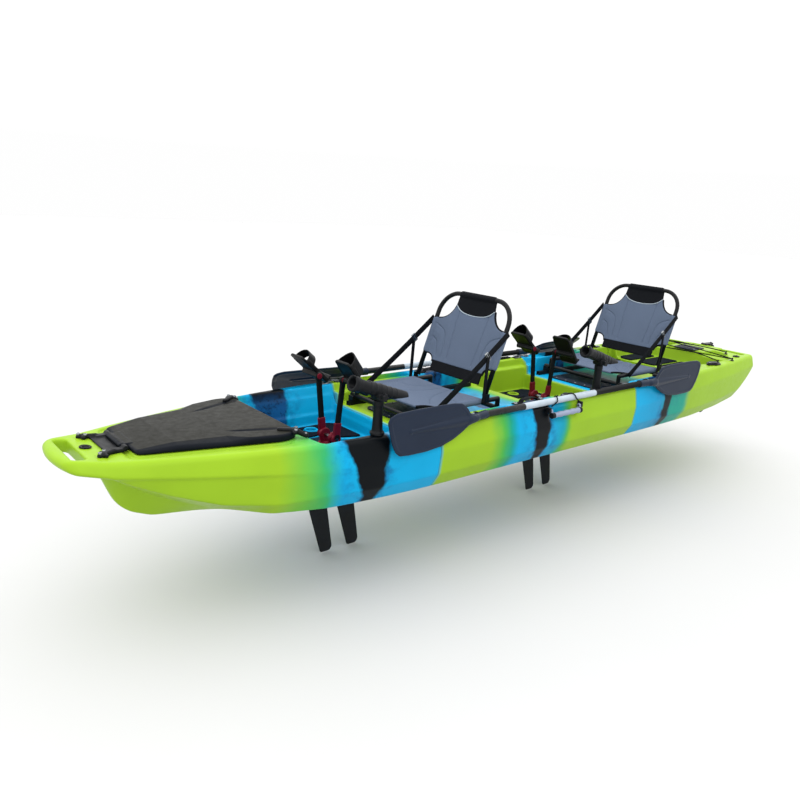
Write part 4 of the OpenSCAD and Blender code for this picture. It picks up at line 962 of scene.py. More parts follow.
def seatPan(which):
    step = seat["step"]
    lo, hi = (-22, -252, -34), (362, 252, 18)
    x, y, z = gridAxes(lo, hi, step)
    length = seat["panLen"]
    sag = -seat["sag"] * (1 - (y / seat["upright"]) ** 2) * np.clip(1 - ((x - 170) / 210) ** 2, 0, 1)
    ink = []
    for s in (-1, 1):
        ink.append(smoothLine([(82, s * 161), (163, s * 78), (250, s * 38), (350, s * 18)]))
        ink.append(smoothLine([(202, s * 205), (240, s * 124), (350, s * 74)]))
    groove, swell = pressed(x, y, ink)
    slab = np.maximum(z - sag + groove - swell, sag - seat["cloth"] - z)
    flat = smoothMax(boxField(x, y, 0 * x, (length / 2, 0, 0), (length / 2 + 4, 230, 50), 6),
                     -(away(x + 2, np.abs(y) - seat["notchOut"]) - seat["notch"]), 4)
    body = smoothMax(slab, flat, 5)
    for s in (-1, 1):
        edge = s * seat["upright"]
        body = smoothMin(body, rodField(x, y, z, (80, edge, -8), (length - 16, edge, -8), 13.5), 12)
    place = Matrix.Translation(Vector((seatX[which] + seat["setback"], 0, seat["panZ"])) * mm)
    obj = fieldPiece(which + "SeatPan", body, lo, step, 24000, place)
    dress(obj, "seat_mesh", which + "_seat", which + "_seat_pan")
    for s, side in flanks:
        r = seat["notch"]
        arc = [(-2 + r * math.cos(a), s * (seat["notchOut"] - r * math.sin(a)), -4)
               for a in np.linspace(0, math.pi / 2, 12)]
        edge = swept(which + "PanTrim" + side, arc, ringSection(5.5, 12), (0, 0, 1))
        edge.matrix_world = place
        dress(edge, "webbing", which + "_seat")


def seatStraps(which):
    x, out = seatX[which], seat["upright"] + 17
    lean = math.radians(seat["lean"])
    up = seat["backLen"] - seat["corner"] - 30
    top = (x + seat["hingeBack"] + up * math.sin(lean), seat["backZ"] + up * math.cos(lean))
    low = (x + 64, seat["panZ"] - 8)
    for s, side in flanks:
        steps = [i / 24 for i in range(25)]
        run = [(low[0] + (top[0] - low[0]) * t, s * out,
                low[1] + (top[1] - low[1]) * t - seat["strapSag"] * math.sin(math.pi * t)) for t in steps]
        strap = swept(which + "Strap" + side, run, bandSection(30, 3), (0, 1, 0))
        strap.data.materials.append(finishes["webbing"])
        if s < 0:
            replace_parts(strap, which + "_seat_straps")
        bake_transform(strap)
        mid = np.array(run[0]) + (np.array(run[-1]) - np.array(run[0])) * seat["slider"]
        mid[2] -= seat["strapSag"] * math.sin(math.pi * seat["slider"])
        buckle = solid(which + "Slider" + side, (-15, -8, -25), (15, 8, 25), 1.25, 2400,
                       lambda x, y, z: smoothMax(smoothMax(planBox(x, z, 11, 21, 3), np.abs(y) - 4, 2),
                                                 -planBox(np.abs(x) - 5.4, z, 2.2, 16, 1.5), 1))
        slope = math.atan2(top[1] - low[1], top[0] - low[0])
        buckle.data.transform(at(*mid) @ Matrix.Rotation(-slope, 4, "Y"))
        buckle.data.materials.append(finishes["bright_steel"])
        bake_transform(buckle)
        foot = seat["panZ"] - 14
        drop = [(mid[0] - 8 * (1 - t), mid[1] + s * 3.4, foot + (mid[2] - foot) * t) for t in steps]
        hanger = swept(which + "Hanger" + side, drop, bandSection(20, 2.6), (0, 1, 0))
        hanger.data.materials.append(finishes["webbing"])
        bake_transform(hanger)


for which in ("front", "rear"):
    seatBack(which)
    seatPan(which)
    seatStraps(which)
print("seats made")

# Paddles: turned shaft, drip rings and spooned blades with a spine
paddle = {"length": 2198, "shaft": 14.5, "blade": 445, "silver": (-320, 182), "step": 2.0, "roll": -45,
          "x": 80, "portY": -414, "starboardY": 405, "drip": 614, "clip": 628, "faces": 26000,
          "long": [(-8, 10), (12, 24), (34, 52), (62, 73), (110, 80), (200, 82), (330, 82), (400, 79),
                   (430, 68), (441, 50)],
          "short": [(432, 10), (415, -40), (396, -74), (376, -90), (330, -95), (240, -96), (160, -88),
                    (100, -70), (50, -44), (12, -20), (-8, -10)]}


def paddleBlade(name, end, out, curl, longSide):
    root = paddle["length"] / 2 - paddle["blade"]
    step = paddle["step"]
    lo, hi = (root - 130, -110, -30), (root + paddle["blade"] + 10, 110, 50)
    x, y, z = gridAxes(lo, hi, step)
    t = np.clip((x - root) / paddle["blade"], 0, 1)
    flat = blurred(polygonField(x - root, y * longSide, paddle["long"] + paddle["short"]), 3, (0, 1))
    rise = out + curl * t ** 2 * 10 - 0.04 * np.abs(y)
    lip = 1.2 * np.exp(-((flat + 12) / 5) ** 2)
    face = np.abs(z - rise)
    body = smoothMax(face - 3.6 - lip, flat, 4)
    spine = rodField(x, y, z, (root - 20, 0, out * 0.8), (root + 330, 0, out + curl * 5), 14, 3)
    body = smoothMin(body, spine, 12)
    for s in (-1, 1):
        groove = rodField(x, y, face, (root + 40, s * 24, 7.5), (root + 320, s * 9, 6), 4.5, 3)
        body = smoothMax(body, -groove, 3)
    neck = rodField(x, y, z, (root - 100, 0, 0), (root + 10, 0, out * 0.7), 18.5, 15)
    body = smoothMin(body, neck, 14)
    body = np.maximum(body, root - 100 - x)
    if end < 0:
        # the forward blade is the same field turned end for end
        body, lo = body[::-1], (-lo[0] - (body.shape[0] - 1) * step, lo[1], lo[2])
    return fieldPiece(name, body, lo, step, paddle["faces"])


def makePaddle(which, place, out, curl, longSide, body):
    r = paddle["shaft"]
    reach = paddle["length"] / 2 - paddle["blade"] - 60
    a, b = paddle["silver"]
    parts = [("ShaftForward", [(-reach, r), (a - 2, r), (a, r - 0.6)], "seat_tube"),
             ("ShaftGrip", [(a, r - 0.4), (a + 2, r + 0.3), (b - 2, r + 0.3), (b, r - 0.4)], "grip_plastic"),
             ("ShaftAft", [(b, r - 0.6), (b + 2, r), (reach, r)], "seat_tube")]
    for part, profile, finish in parts:
        obj = turned(which + part, profile)
        obj.matrix_world = place
        dress(obj, finish, body, *once(body), slot="paddle_parts")
    for e, end in ((-1, "Forward"), (1, "Aft")):
        obj = paddleBlade(which + "Blade" + end, e, out, curl, longSide)
        obj.matrix_world = place
        dress(obj, "paddle_parts", body)
        dripRing = ((-6, r), (-5, r + 3), (-1, r + 6), (1, r + 6), (5, r + 3), (6, r))
        clipRing = ((-4, r), (-3, r + 1.6), (3, r + 1.6), (4, r))
        for part, reach0, profile, finish in (("Drip", paddle["drip"], dripRing, "seal_rubber"),
                                             ("Clip", paddle["clip"], clipRing, "grip_plastic")):
            obj = turned(which + part + end, [(e * reach0 + d, q) for d, q in profile])
            obj.matrix_world = place
            dress(obj, finish, body, slot="paddle_parts")


def middleZ(node):
    low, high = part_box(node)
    return (low.z + high.z) / 2


def paddlePlace(y, z, roll):
    return Matrix.Translation((paddle["x"] * mm, y * mm, z)) @ Matrix.Rotation(math.radians(roll), 4, "X")


portZ, starboardZ = middleZ("port_paddle"), middleZ("starboard_paddle")
portPlace = paddlePlace(paddle["portY"], portZ, 90)
starboardPlace = paddlePlace(paddle["starboardY"], starboardZ, paddle["roll"])
makePaddle("port", portPlace, 23, 0.6, 1, "port_paddle")
makePaddle("starboard", starboardPlace, 0, 1.2, -1, "starboard_paddle")
print("paddles made")

# Bow hinge, hooks and bolts round the lid
hook = {"bolt": 6.5}


def bowFittings():
    x0 = lid["hinge"]

    def hinge(x, y, z):
        a = np.abs(y)
        f = boxField(x, y, z, (x0 - 34, 0, 271.5), (26, 97, 3.6), 3)
        knuckle = np.maximum(away(x - x0, z - lid["pin"]) - 8.5, np.abs(a - 84) - 14.5)
        arm = boxField(x, a, z, (x0 - 21, 84, 275), (21, 14, 6), 4)
        f = smoothMin(f, smoothMin(knuckle, arm, 5), 5)
        claw = rodField(x, a, z, (x0 - 88, 112, 274), (x0 - 38, 92, 277), 9, 8)
        claw = smoothMin(claw, rodField(x, a, z, (x0 - 78, 90, 275), (x0 - 70, 124, 275), 8, 6), 8)
        return smoothMax(smoothMin(f, claw, 5), 268.2 - z, 2)
    dress(solid("bowHinge", (x0 - 108, -138, 262), (x0 + 14, 138, 296), 2, 14000, hinge), "black_plastic",
          "hull", "bow_hatch_hinge")
    spots = [at(x0 + dx, s * dy, 283) for s in (-1, 1) for dx, dy in ((-88, 112), (-70, 95))]
    dress(studs("hookBolts", spots, hook["bolt"], 5), "bright_steel", "hull")

    def claws(x, y, z):
        a = np.abs(y)
        f = rodField(x, a, z, (x0 + 505, 214, 299), (x0 + 548, 246, 298), 9, 12)
        f = smoothMin(f, rodField(x, a, z, (x0 + 548, 246, 298), (x0 + 584, 270, 279), 11, 9), 10)
        cross = rodField(x, a, z, (x0 + 540, 262, 294), (x0 + 560, 236, 294), 8)
        return smoothMax(smoothMin(f, cross, 8), np.maximum(z - 307, 268.6 - z), 3)
    dress(solid("lidHooks", (x0 + 484, -290, 262), (x0 + 602, 290, 316), 2.5, 12000, claws), "black_plastic",
          "bow_hatch_lid")
    spots = [at(x0 + dx, s * dy, z) for s in (-1, 1)
             for dx, dy, z in ((545, 262, 304), (560, 238, 304), (582, 268, 287))]
    dress(studs("lidHookBolts", spots, hook["bolt"], 4), "bright_steel", "bow_hatch_lid")


bowFittings()

# Screwed covers and their screws
cover = {"length": 240, "half": 171, "thick": 8, "corner": 38, "line": 24,
         "places": (("frontCover", seamA + 61), ("rearCover", seamB + 40))}


def plate(name, hx, hy, thick, corner, line, place, faces=9000):
    def shape(x, y, z):
        plan = planBox(x, y, hx, hy, corner)
        top = thick - 1.6 * np.exp(-((plan + line) / 3.5) ** 2) + 1.4 * np.clip((-plan - line - 4) / 6, 0, 1)
        return smoothMax(plan, np.maximum(z - top, 0.2 - z), 3)
    return solid(name, (-hx - 6, -hy - 6, -4), (hx + 6, hy + 6, thick + 8), 2.5, faces, shape, place)


def deckCovers():
    for name, x in cover["places"]:
        obj = plate(name, cover["length"] / 2, cover["half"], cover["thick"], cover["corner"], cover["line"],
                    at(x + cover["length"] / 2, 0, deck["seat"]))
        dress(obj, "cover_plastic", "hull", *once("hatch_covers"))
    spot = onDeck(sternX - 215, 0)
    dress(plate("sternPlate", 62, 75, 6, 10, 14, spot, 5000), "cover_plastic", "hull")
    spots = []
    top = deck["seat"] + cover["thick"]
    for _, x in cover["places"]:
        spots += [at(x + e, i * 64.5, top) for e in (12, 228) for i in range(-2, 3)]
        spots += [at(x + e * 240, s * 159, top) for e in (0.33, 0.67) for s in (-1, 1)]
    spots += [spot @ at(i * 50, j * 64, 6) for i in (-1, 1) for j in (-1, 1)]
    dress(studs("coverScrews", spots, 4.6, 2.6), "bright_steel", "hull", "deck_screws")


deckCovers()

# Foam pads of the foot wells and the tank well
padShape = {"thick": 8, "line": 13, "step": 2.5}


def foamPad(name, outline, floor, hole=None):
    xs, ys = [p[0] for p in outline], [p[1] for p in outline]
    lo, hi = (min(xs) - 6, min(ys) - 6, floor - 5), (max(xs) + 6, max(ys) + 6, floor + 16)

    def shape(x, y, z):
        plan = blurred(polygonField(x, y, outline), 3, (0, 1))
        if hole:
            plan = smoothMax(plan, 36 - away(x - hole[0], y - hole[1]), 4)
        top = floor + padShape["thick"] - 1.1 * np.exp(-((plan + padShape["line"]) / 2.6) ** 2)
        return smoothMax(plan, np.maximum(z - top, floor + clear - z), 4)
    obj = solid(name, lo, hi, padShape["step"], 9000, shape)
    dress(obj, "pad_foam", "hull", *once("foam_pads"))


def foamPads():
    for which in ("front", "rear"):
        end, cx = wellEnd[which], driveX[which]
        fwd, aft = end - 410, end - 14
        side = [(fwd, 62), (cx - 75, 104), (cx - 60, 150), (cx + 70, 165), (cx + 88, 104), (aft, 62),
                (aft, 260), (aft - 28, 288), (fwd + 70, 288), (fwd, 222)]
        for s, label in flanks:
            foamPad(which + "Pad" + label, [(x, s * y) for x, y in side], well["floor"],
                    (end - well["scupperBack"], s * well["scupperOut"]))
    start, stop = seamB + 854, sternX - 307
    for label, a, b in (("Inner", 13, 147), ("Outer", 178, 284)):
        side = [(start, a), (stop, a), (stop, b - 16), (stop - 16, b), (start + 40, b), (start, b - 36)]
        for s, name in flanks:
            foamPad("tankPad" + label + name, [(x, s * y) for x, y in side], deck["tank"])


foamPads()

# Drain plugs; the scupper collars are part of the hull shells
plug = {"r": 20, "places": ((bowX + 122, 0.0), (sternX - 202, 61 - float(halfWidth(sternX - 202.0))))}


def drainPlugs():
    def shape(x, y, z):
        rr = away(x, y)
        f = smoothMax(rr - plug["r"], np.maximum(z - 6, 0.4 - z), 3)
        f = smoothMax(f, -smoothMax(np.abs(rr - 12) - 3, 4 - z, 2), 2)
        return smoothMin(f, boxField(x, y, z, (0, 0, 6), (10, 3.2, 3.4), 2), 3)
    for i, (x, y) in enumerate(plug["places"]):
        obj = solid("drainPlug" + ("Bow", "Stern")[i], (-26, -26, -3), (26, 26, 14), 1.5, 4000, shape,
                    onDeck(x, y))
        dress(obj, "black_plastic", "hull", *once("drain_fittings"))


drainPlugs()

# Rails and tracks: slotted bars
railParts = {"rail": (790, 20.0, 6), "track": (330, 9.0, 3)}


def slotted(name, x, y, z, kind):
    length, high, base = railParts[kind]
    lip = high - 3
    section = [(-11, 0), (11, 0), (11, high), (4, high), (4, lip), (7, lip), (7, base), (-7, base), (-7, lip),
               (-4, lip), (-4, high), (-11, high)]
    obj = swept(name, [(x, y, z), (x + length / 2, y, z), (x + length, y, z)], section[::-1], (0, 0, 1))
    return sharpen(obj, 30)


def railSet():
    spots = []
    for s, label in flanks:
        for name, x, y, z, kind in (("frontRail", seamA + 24, 248, deck["seat"], "rail"),
                                    ("rearRail", seamB + 28, 248, deck["seat"], "rail"),
                                    ("gearTrack", seamA + 925, 378, gunwale + clear, "track")):
            obj = slotted(name + label, x, s * y, z, kind)
            dress(obj, "black_plastic", "hull", *once({"rail": "seat_rails", "track": "gear_tracks"}[kind]))
            length, _, base = railParts[kind]
            spots += [at(x + length * t, s * y, z + base) for t in (0.04, 0.35, 0.65, 0.96)]
    dress(studs("railScrews", spots, 3.4, 2.2), "bright_steel", "hull")


railSet()

# Eyelets, bungee and paddle keepers
eye = {"places": ((984, 336), (1122, 346), (1272, 222), (963, -334), (1101, -352), (1257, -232)), "up": 11.4,
       "order": (0, 4, 2, 5, 1, 3), "lift": (2, 2, 6, 16, 16), "keeper": seamA + 770,
       "keeperY": 363.0, "guide": seamA + 645, "guideY": 429, "guideZ": 265}


def cordSet():
    spots = []
    for dx, y in eye["places"]:
        x = seamB + dx
        reach = float(halfWidth(x)) - hull["lean"] - 16
        spots.append((x, math.copysign(min(abs(y), reach), y)))
    rings = spots + [(eye["keeper"], s * eye["keeperY"]) for s in (-1, 1)]

    def eyelet(x, y, z):
        rr = away(x, y)
        f = smoothMax(rr - 11, np.maximum(z - 4, 0.4 - z), 2.5)
        loop = np.sqrt((away(x, z - eye["up"]) - 6) ** 2 + y ** 2) - 2.4
        return smoothMin(f, loop, 2)
    base = solid("eyeletBase", (-15, -15, -3), (15, 15, 24), 1.25, 2200, eyelet)
    dress(copies("deckEyelets", base, [onDeck(x, y) for x, y in rings]), "black_plastic", "hull",
          "deck_eyelets")
    tops = [np.array((x, y, deckZ(x) + eye["up"])) for x, y in spots]
    path = []
    for k, lift in enumerate(eye["lift"]):
        a, b = tops[eye["order"][k]], tops[eye["order"][k + 1]]
        path += [a] + [a + (b - a) * t + np.array((0, 0, lift * (1 - abs(2 * t - 1) ** 3))) for t in
                       (0.12, 0.3, 0.5, 0.7, 0.88)]
    path.append(tops[eye["order"][-1]])
    dress(swept("tankBungee", smoothPath(path, 5), ringSection(3, 12), (0.05, 0.1, 1)), "bungee_cord", "hull",
          "tank_bungee")
    for s, label, y, z in ((-1, "Port", -paddle["portY"], portZ / mm),
                           (1, "Starboard", paddle["starboardY"], starboardZ / mm)):
        def over(x0, a0, a1):
            r = paddle["shaft"] + 5
            turn = [math.radians(a0 + (a1 - a0) * i / 6) for i in range(7)]
            return [(x0 + i * 4, s * (y + r * math.cos(a)), z + r * math.sin(a)) for i, a in enumerate(turn)]
        gx, side, low = eye["guide"], s * eye["guideY"], eye["guideZ"]
        route = [(gx + 6, side, low)] + over(gx + 36, 0, 165) + [(eye["keeper"], s * eye["keeperY"], 279.4)]
        route += over(gx + 150, 165, 0) + [(gx + 204, side, low)]
        dress(swept("keeper" + label, smoothPath(route, 4), ringSection(2.6, 12), (0.05, 0.1, 1)),
              "bungee_cord", "hull", *once("paddle_keepers"))


cordSet()

# Draw latches across the seams
def latchField(x, y, z):
    a = np.abs(y)
    f = np.minimum(smoothMax(planBox(x + 33, y, 29, 17, 5), np.abs(z - 1.6) - 1.5, 1),
                   smoothMax(planBox(x - 45, y, 17, 15, 5), np.abs(z - 1.6) - 1.5, 1))
    f = smoothMin(f, boxField(x, y, z, (54, 0, 4.5), (3.5, 11, 4.5), 2), 2)
    f = smoothMin(f, boxField(x, a, z, (-18, 14, 5), (9, 1.8, 5), 1.5), 1.5)
    bend = 8.5 + 2.5 * np.exp(-((x + 54) / 12) ** 2)
    f = np.minimum(f, smoothMax(planBox(x + 22, y, 36, 10.5 - 0.05 * np.maximum(-x - 22, 0), 5),
                                np.abs(z - bend) - 1.5, 1))
    bail = np.minimum(rodField(x, a, z, (-6, 7.5, 8), (56, 8.5, 8.5), 2),
                      rodField(x, y, z, (57, -8.5, 8.5), (57, 8.5, 8.5), 2))
    return smoothMin(f, bail, 1)


def seamLatches():
    y0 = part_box("seam_latches")[1].y / mm - 17
    base = solid("latchBase", (-66, -20, -2), (66, 20, 16), 1.5, 5000, latchField)
    spots = [at(x, s * y0, max(deckZ(x - 62), deckZ(x + 62)) + 0.4) for x in (seamA, seamB) for s in (-1, 1)]
    dress(copies("seamLatches", base, spots), "bright_steel", "hull", "seam_latches")


seamLatches()
for name in ("hatch_gasket", "handle_brackets", "rudder_bracket", "drive_spines", "drive_axles",
             "front_seat_frame", "rear_seat_frame"):
    soft = nodes[name].modifiers.new("softEdges", "BEVEL")
    soft.width, soft.segments, soft.limit_method, soft.angle_limit = 0.0015, 2, "ANGLE", math.radians(40)

# Webbing carry straps with cup washers
strapHandle = {"places": ((seamA + 511, 196), (seamB + 512, 190)), "y": 328, "rise": 17, "wide": 26}


def strapHandles():
    spots = []
    for x, length in strapHandle["places"]:
        for s, label in flanks:
            place = onDeck(x + length / 2, s * strapHandle["y"])
            h = length / 2
            rise = strapHandle["rise"]
            line = [(-h, 0), (-h + 26, 0), (-h + 46, 3), (-h * 0.4, rise * 0.85), (0, rise)]
            path = [(a, 0, b + 2.2) for a, b in line] + [(-a, 0, b + 2.2) for a, b in line[-2::-1]]
            obj = swept("carryStrap" + ("Front" if x < 0 else "Rear") + label, smoothPath(path, 6),
                        bandSection(strapHandle["wide"], 3.2), (0, 0, 1))
            obj.matrix_world = place
            dress(obj, "webbing", "hull", *once("strap_handles"))
            spots += [place @ at(e * (h - 12), 0, 3.6) for e in (-1, 1)]
    dress(studs("strapBolts", spots, 10, 6), "bright_steel", "hull")


strapHandles()

# Flush rod holders and their caps
flush = {"r": 24, "bore": 21, "flange": 34, "pivot": 38}


def flushHolders():
    spots = []
    for (x, inset), end in zip(flushPlaces, ("forward", "aft")):
        for s, side in hands:
            y = s * (float(halfWidth(x)) - hull["lean"] - inset)
            top = max(deckZ(x - 32), deckZ(x + 32)) + clear

            def collar(px, py, pz):
                rr = away(px, py)
                ear = rodField(px, py, 0 * pz, (-30, 0, 0), (-46, 0, 0), 16, 13)
                plan = smoothMin(rr - flush["flange"], ear, 14)
                for d in (-1, 1):
                    ear = rodField(px, py, 0 * pz, (20, d * 14, 0), (30, d * 22, 0), 16, 12)
                    plan = smoothMin(plan, ear, 12)
                f = smoothMax(plan, np.maximum(pz - 7, 0.2 - pz), 3)
                f = np.minimum(f, np.maximum(rr - flush["r"], np.maximum(pz - 4, -60 - pz)))
                return smoothMax(f, -np.maximum(rr - flush["bore"], -55 - pz), 2)
            name, body = side + end.title(), side + "_" + end + "_cap"
            obj = solid(name + "Holder", (-66, -44, -64), (50, 44, 14), 2, 9000, collar, at(x, y, top))
            dress(obj, "black_plastic", "hull", *once("flush_rod_tubes"))
            spots += [at(x + 33, y + d, top + 5) for d in (-24, 24)] + [at(x - 52, y, top + 5)]

            def leaf(px, py, pz):
                plan = rodField(px, py, 0 * pz, (0, 0, 0), (-flush["pivot"], 0, 0), 29, 10)
                crown = 5 + 2.5 * np.clip(1 - (px ** 2 + py ** 2) / 700, 0, 1)
                f = smoothMax(plan, np.maximum(pz - crown, 0.1 - pz), 3)
                return smoothMin(f, boxField(px, py, pz, (26, 0, 4), (8, 9, 3.4), 3), 3)
            obj = solid(name + "Cap", (-54, -36, -3), (40, 36, 14), 1.75, 5000, leaf, at(x, y, top + 7.3))
            dress(obj, "black_plastic", body, body)
            pin = studs(name + "CapScrew", [at(x - flush["pivot"], y, top + 12.3)], 5.5, 2.6)
            dress(pin, "bright_steel", body)
    dress(studs("holderScrews", spots, 4, 2.2), "bright_steel", "hull")


flushHolders()

# Tube rod holders
rod = {"y": -360, "top": 400, "tilt": 19, "up": 37.4, "bore": 20, "half": 131, "hub": 16,
       "knob": 34}


def rodHolders():
    c, n = math.cos(math.radians(rod["tilt"])), math.sin(math.radians(rod["tilt"]))

    def holder(x, y, z):
        t = x * c - (z - rod["up"]) * n
        rise = x * n + (z - rod["up"]) * c
        radial = away(y, rise)
        wide = np.interp(t, [-131, -120, -96, -60, 84, 104, 131], [31, 31, 26.5, 25, 24.5, 25, 25])
        ridge = 1.5 * np.exp(-(((t + 200) % 26 - 13) / 4) ** 2) * (np.abs(t - 14) < 74)
        f = smoothMax(radial - wide - ridge, np.abs(t) - rod["half"], 3)
        f = smoothMin(f, rodField(x, y, z, (0, 0, 14), (0, 0, rod["up"]), 18, 22), 12)
        high = z - rod["hub"]
        spread, turn = away(x, high), np.arctan2(high, x)
        hub = np.maximum(spread - 19 - 1.2 * np.cos(12 * turn), np.abs(y) - 25)
        f = smoothMin(f, hub, 4)
        knobY = np.abs(y + rod["knob"])
        knob = np.maximum(spread - 14 - 2.5 * np.cos(5 * turn), knobY - 9)
        f = smoothMin(f, smoothMax(knob, knobY - 8.5, 3), 3)
        f = smoothMax(f, 0.6 - z, 2)
        slot = np.maximum(np.maximum(np.abs(y) - 9, t + 62), -rise)
        f = smoothMax(f, -smoothMax(slot, -t - 400, 6), 5)
        return smoothMax(f, -(radial - rod["bore"]), 3)

    def base(x, y, z):
        rr = away(x, y)
        f = smoothMax(rr - 28, np.maximum(z - 12, -z), 5)
        wide = np.interp(z, [0, 20, 60, 108, 112, 132], [24, 21, 18.5, 18, 20, 20])
        post = np.maximum(rr - wide, z - 131.5)
        gusset = np.maximum(np.minimum(np.abs(x), np.abs(y)) - 3, np.maximum(rr - 26 + z * 0.28, z - 44))
        f = smoothMin(smoothMin(f, post, 7), gusset, 6)
        return smoothMax(f, -z, 2)
    for end, x in (("forward", seamA - 279), ("aft", seamB - 272)):
        obj = solid(end + "RodHolder", (-146, -48, -2), (146, 34, 116), 2.25, 16000, holder,
                    at(x, rod["y"], rod["top"]))
        dress(obj, "black_plastic", end + "_rod_holder", end + "_rod_holder")
        obj = solid(end + "RodBase", (-34, -34, -4), (34, 34, 138), 2.25, 7000, base,
                    at(x, rod["y"], gunwale + clear))
        dress(obj, "black_plastic", "hull", *once("rod_holder_bases"))
        spots = [at(x + 21 * math.cos(a), rod["y"] + 21 * math.sin(a), gunwale + 11.5)
                 for a in (0.8, 2.36, 3.93, 5.5)]
        dress(studs(end + "RodScrews", spots, 3.6, 2.4), "bright_steel", "hull")


rodHolders()

# Side carry handles
grip = {"x": seamA + 750, "y": 430, "z": 246, "half": 103, "r": 12.4, "out": 9, "drop": 20,
        "arm": 100, "cuff": 96, "waves": 92}


def carryHandles():
    for s, side in hands:
        def shape(x, y, z):
            r = grip["r"] + 1.1 * np.cos(x * 2 * math.pi / 44) * (np.abs(x) < grip["waves"])
            bar = away(y - s * grip["out"], z + grip["drop"]) - r
            bar = smoothMax(bar, np.abs(x) - grip["half"], 5)
            a = np.abs(x)
            arm = rodField(a, y, z, (grip["arm"], 0, 0), (grip["arm"], s * grip["out"], -grip["drop"]), 8)
            flat = np.abs(a - grip["arm"]) - 3.6
            eyeEnd = np.maximum(away(y, z) - 9, flat)
            return smoothMin(bar, smoothMin(np.maximum(arm, flat), eyeEnd, 3), 4)
        obj = solid(side + "CarryHandle", (-112, -28, -40), (112, 28, 14), 2, 9000, shape,
                    at(grip["x"], s * grip["y"], grip["z"]))
        dress(obj, "handle_grip", side + "_carry_handle", side + "_carry_handle", slot="grip_plastic")
        ends = solid(side + "HandleEnds", (-112, -10, -40), (112, 28, 0), 2, 3000, lambda x, y, z: smoothMax(
            away(y - grip["out"], z + grip["drop"]) - grip["r"] - 1.6,
            np.abs(np.abs(x) - grip["cuff"]) - 10, 3))
        ends.matrix_world = at(grip["x"], s * grip["y"], grip["z"])
        if s < 0:
            ends.data.transform(Matrix.Scale(-1, 4, (0, 1, 0)))
            ends.data.flip_normals()
        dress(ends, "black_plastic", side + "_carry_handle", slot="grip_plastic")


carryHandles()
print("deck fittings made")

# Rudder and steering lever
rudder = {"kick": (sternX + 84, 150), "steer": sternX + 62, "thick": 7.5,
          "blade": [(-12, 14), (12, 14), (19, -36), (46, -66), (55, -120), (55, -275), (44, -316), (20, -336),
                    (-12, -338), (-31, -324), (-70, -100), (-66, -74), (-50, -60), (-15, -38)]}


def rudderSet():
    kx, kz = rudder["kick"]

    def blade(x, y, z):
        plan = blurred(polygonField(x, z, rudder["blade"]), 3, (0, 2))
        half = 2.2 + (rudder["thick"] - 2.2) * (1 - np.exp(np.minimum(plan, 0) / 22))
        f = smoothMax(plan, np.abs(y) - half, 4)
        for dz in (-130, -190, -250):
            rib = rodField(x, np.abs(y), z, (-50 + dz * -0.12, 7.2, dz), (44, 7.2, dz), 2.2)
            f = smoothMin(f, rib, 4)
        boss = np.maximum(away(x, z) - 15, np.abs(y) - 8)
        return smoothMin(f, boss, 5)
    dress(solid("rudderBlade", (-84, -14, -350), (70, 14, 24), 2.25, 12000, blade, at(kx, 0, kz)),
          "fin_rubber", "rudder_blade", "rudder_blade")
    z0 = deckZ(transomX) - 28.7
    sx = rudder["steer"]

    def head(x, y, z):
        f = np.maximum(away(x - sx, y) - 15, np.maximum(z0 - z, z - z0 - 26.4))
        arm = boxField(x, y, z, ((sx + kx) / 2 + 6, 0, z0 + 9), ((kx - sx) / 2 + 8, 9, 9), 5)
        column = rodField(x, y, z, (kx + 5, 0, z0 + 6), (kx + 7, 0, kz + 46), 11, 9)
        side = np.abs(y) - 12
        cheek = rodField(x, 0 * y, z, (kx + 3, 0, kz + 42), (kx, 0, kz), 13, 14)
        cheek = np.maximum(cheek, np.abs(side) - 3.4)
        web = rodField(x, 0 * y, z, (kx + 4, 0, kz + 44), (kx + 4, 0, kz + 34), 13)
        web = np.maximum(web, np.abs(y) - 14)
        f = smoothMin(smoothMin(f, arm, 6), column, 8)
        f = smoothMin(f, smoothMin(cheek, np.maximum(web, kz + 26 - z), 4), 4)
        pin = np.maximum(away(x - kx, z - kz) - 6, np.abs(y) - 18)
        return np.minimum(f, pin)
    dress(solid("rudderHead", (sx - 22, -24, kz - 20), (kx + 30, 24, z0 + 34), 2, 9000, head),
          "black_plastic", "rudder_head", "rudder_head")
    lx, ly = seamB + 416, -363
    lz = deckZ(lx) + 1.3
    base = turned("steeringBase", [(0, 38), (4, 38), (8, 35), (10, 30), (10, 22)], 48)
    base.matrix_world = at(lx, ly, lz) @ upright
    dress(sharpen(base, 40), "black_plastic", "hull", "steering_base")

    def lever(x, y, z):
        f = smoothMax(away(x, y) - 20, np.maximum(z - 14, -z), 4)
        arm = np.maximum(rodField(x, y, 0 * z, (0, 0, 0), (-172, 0, 0), 13, 8), np.abs(z - 7) - 4.5)
        f = smoothMin(f, arm, 5)
        knob = smoothMax(away(x + 176, y) - 14, np.abs(z - 9) - 7.5, 6)
        return smoothMin(f, knob, 5)
    dress(solid("steeringLever", (-196, -26, -4), (26, 26, 24), 2, 8000, lever, at(lx, ly, lz + 10.3)),
          "black_plastic", "steering_lever", "steering_lever")
    dress(studs("leverBolt", [at(lx, ly, lz + 24)], 8, 4), "bright_steel", "steering_lever")


rudderSet()
print("rudder made")

# Fin drives: red yoke, masts with red caps, pedals with loops, fins
drive = {"axle": 152, "crank": 250, "arm": 50, "notch": 6, "tilt": 48, "fin": 70, "finZ": -24, "pedal": 111}


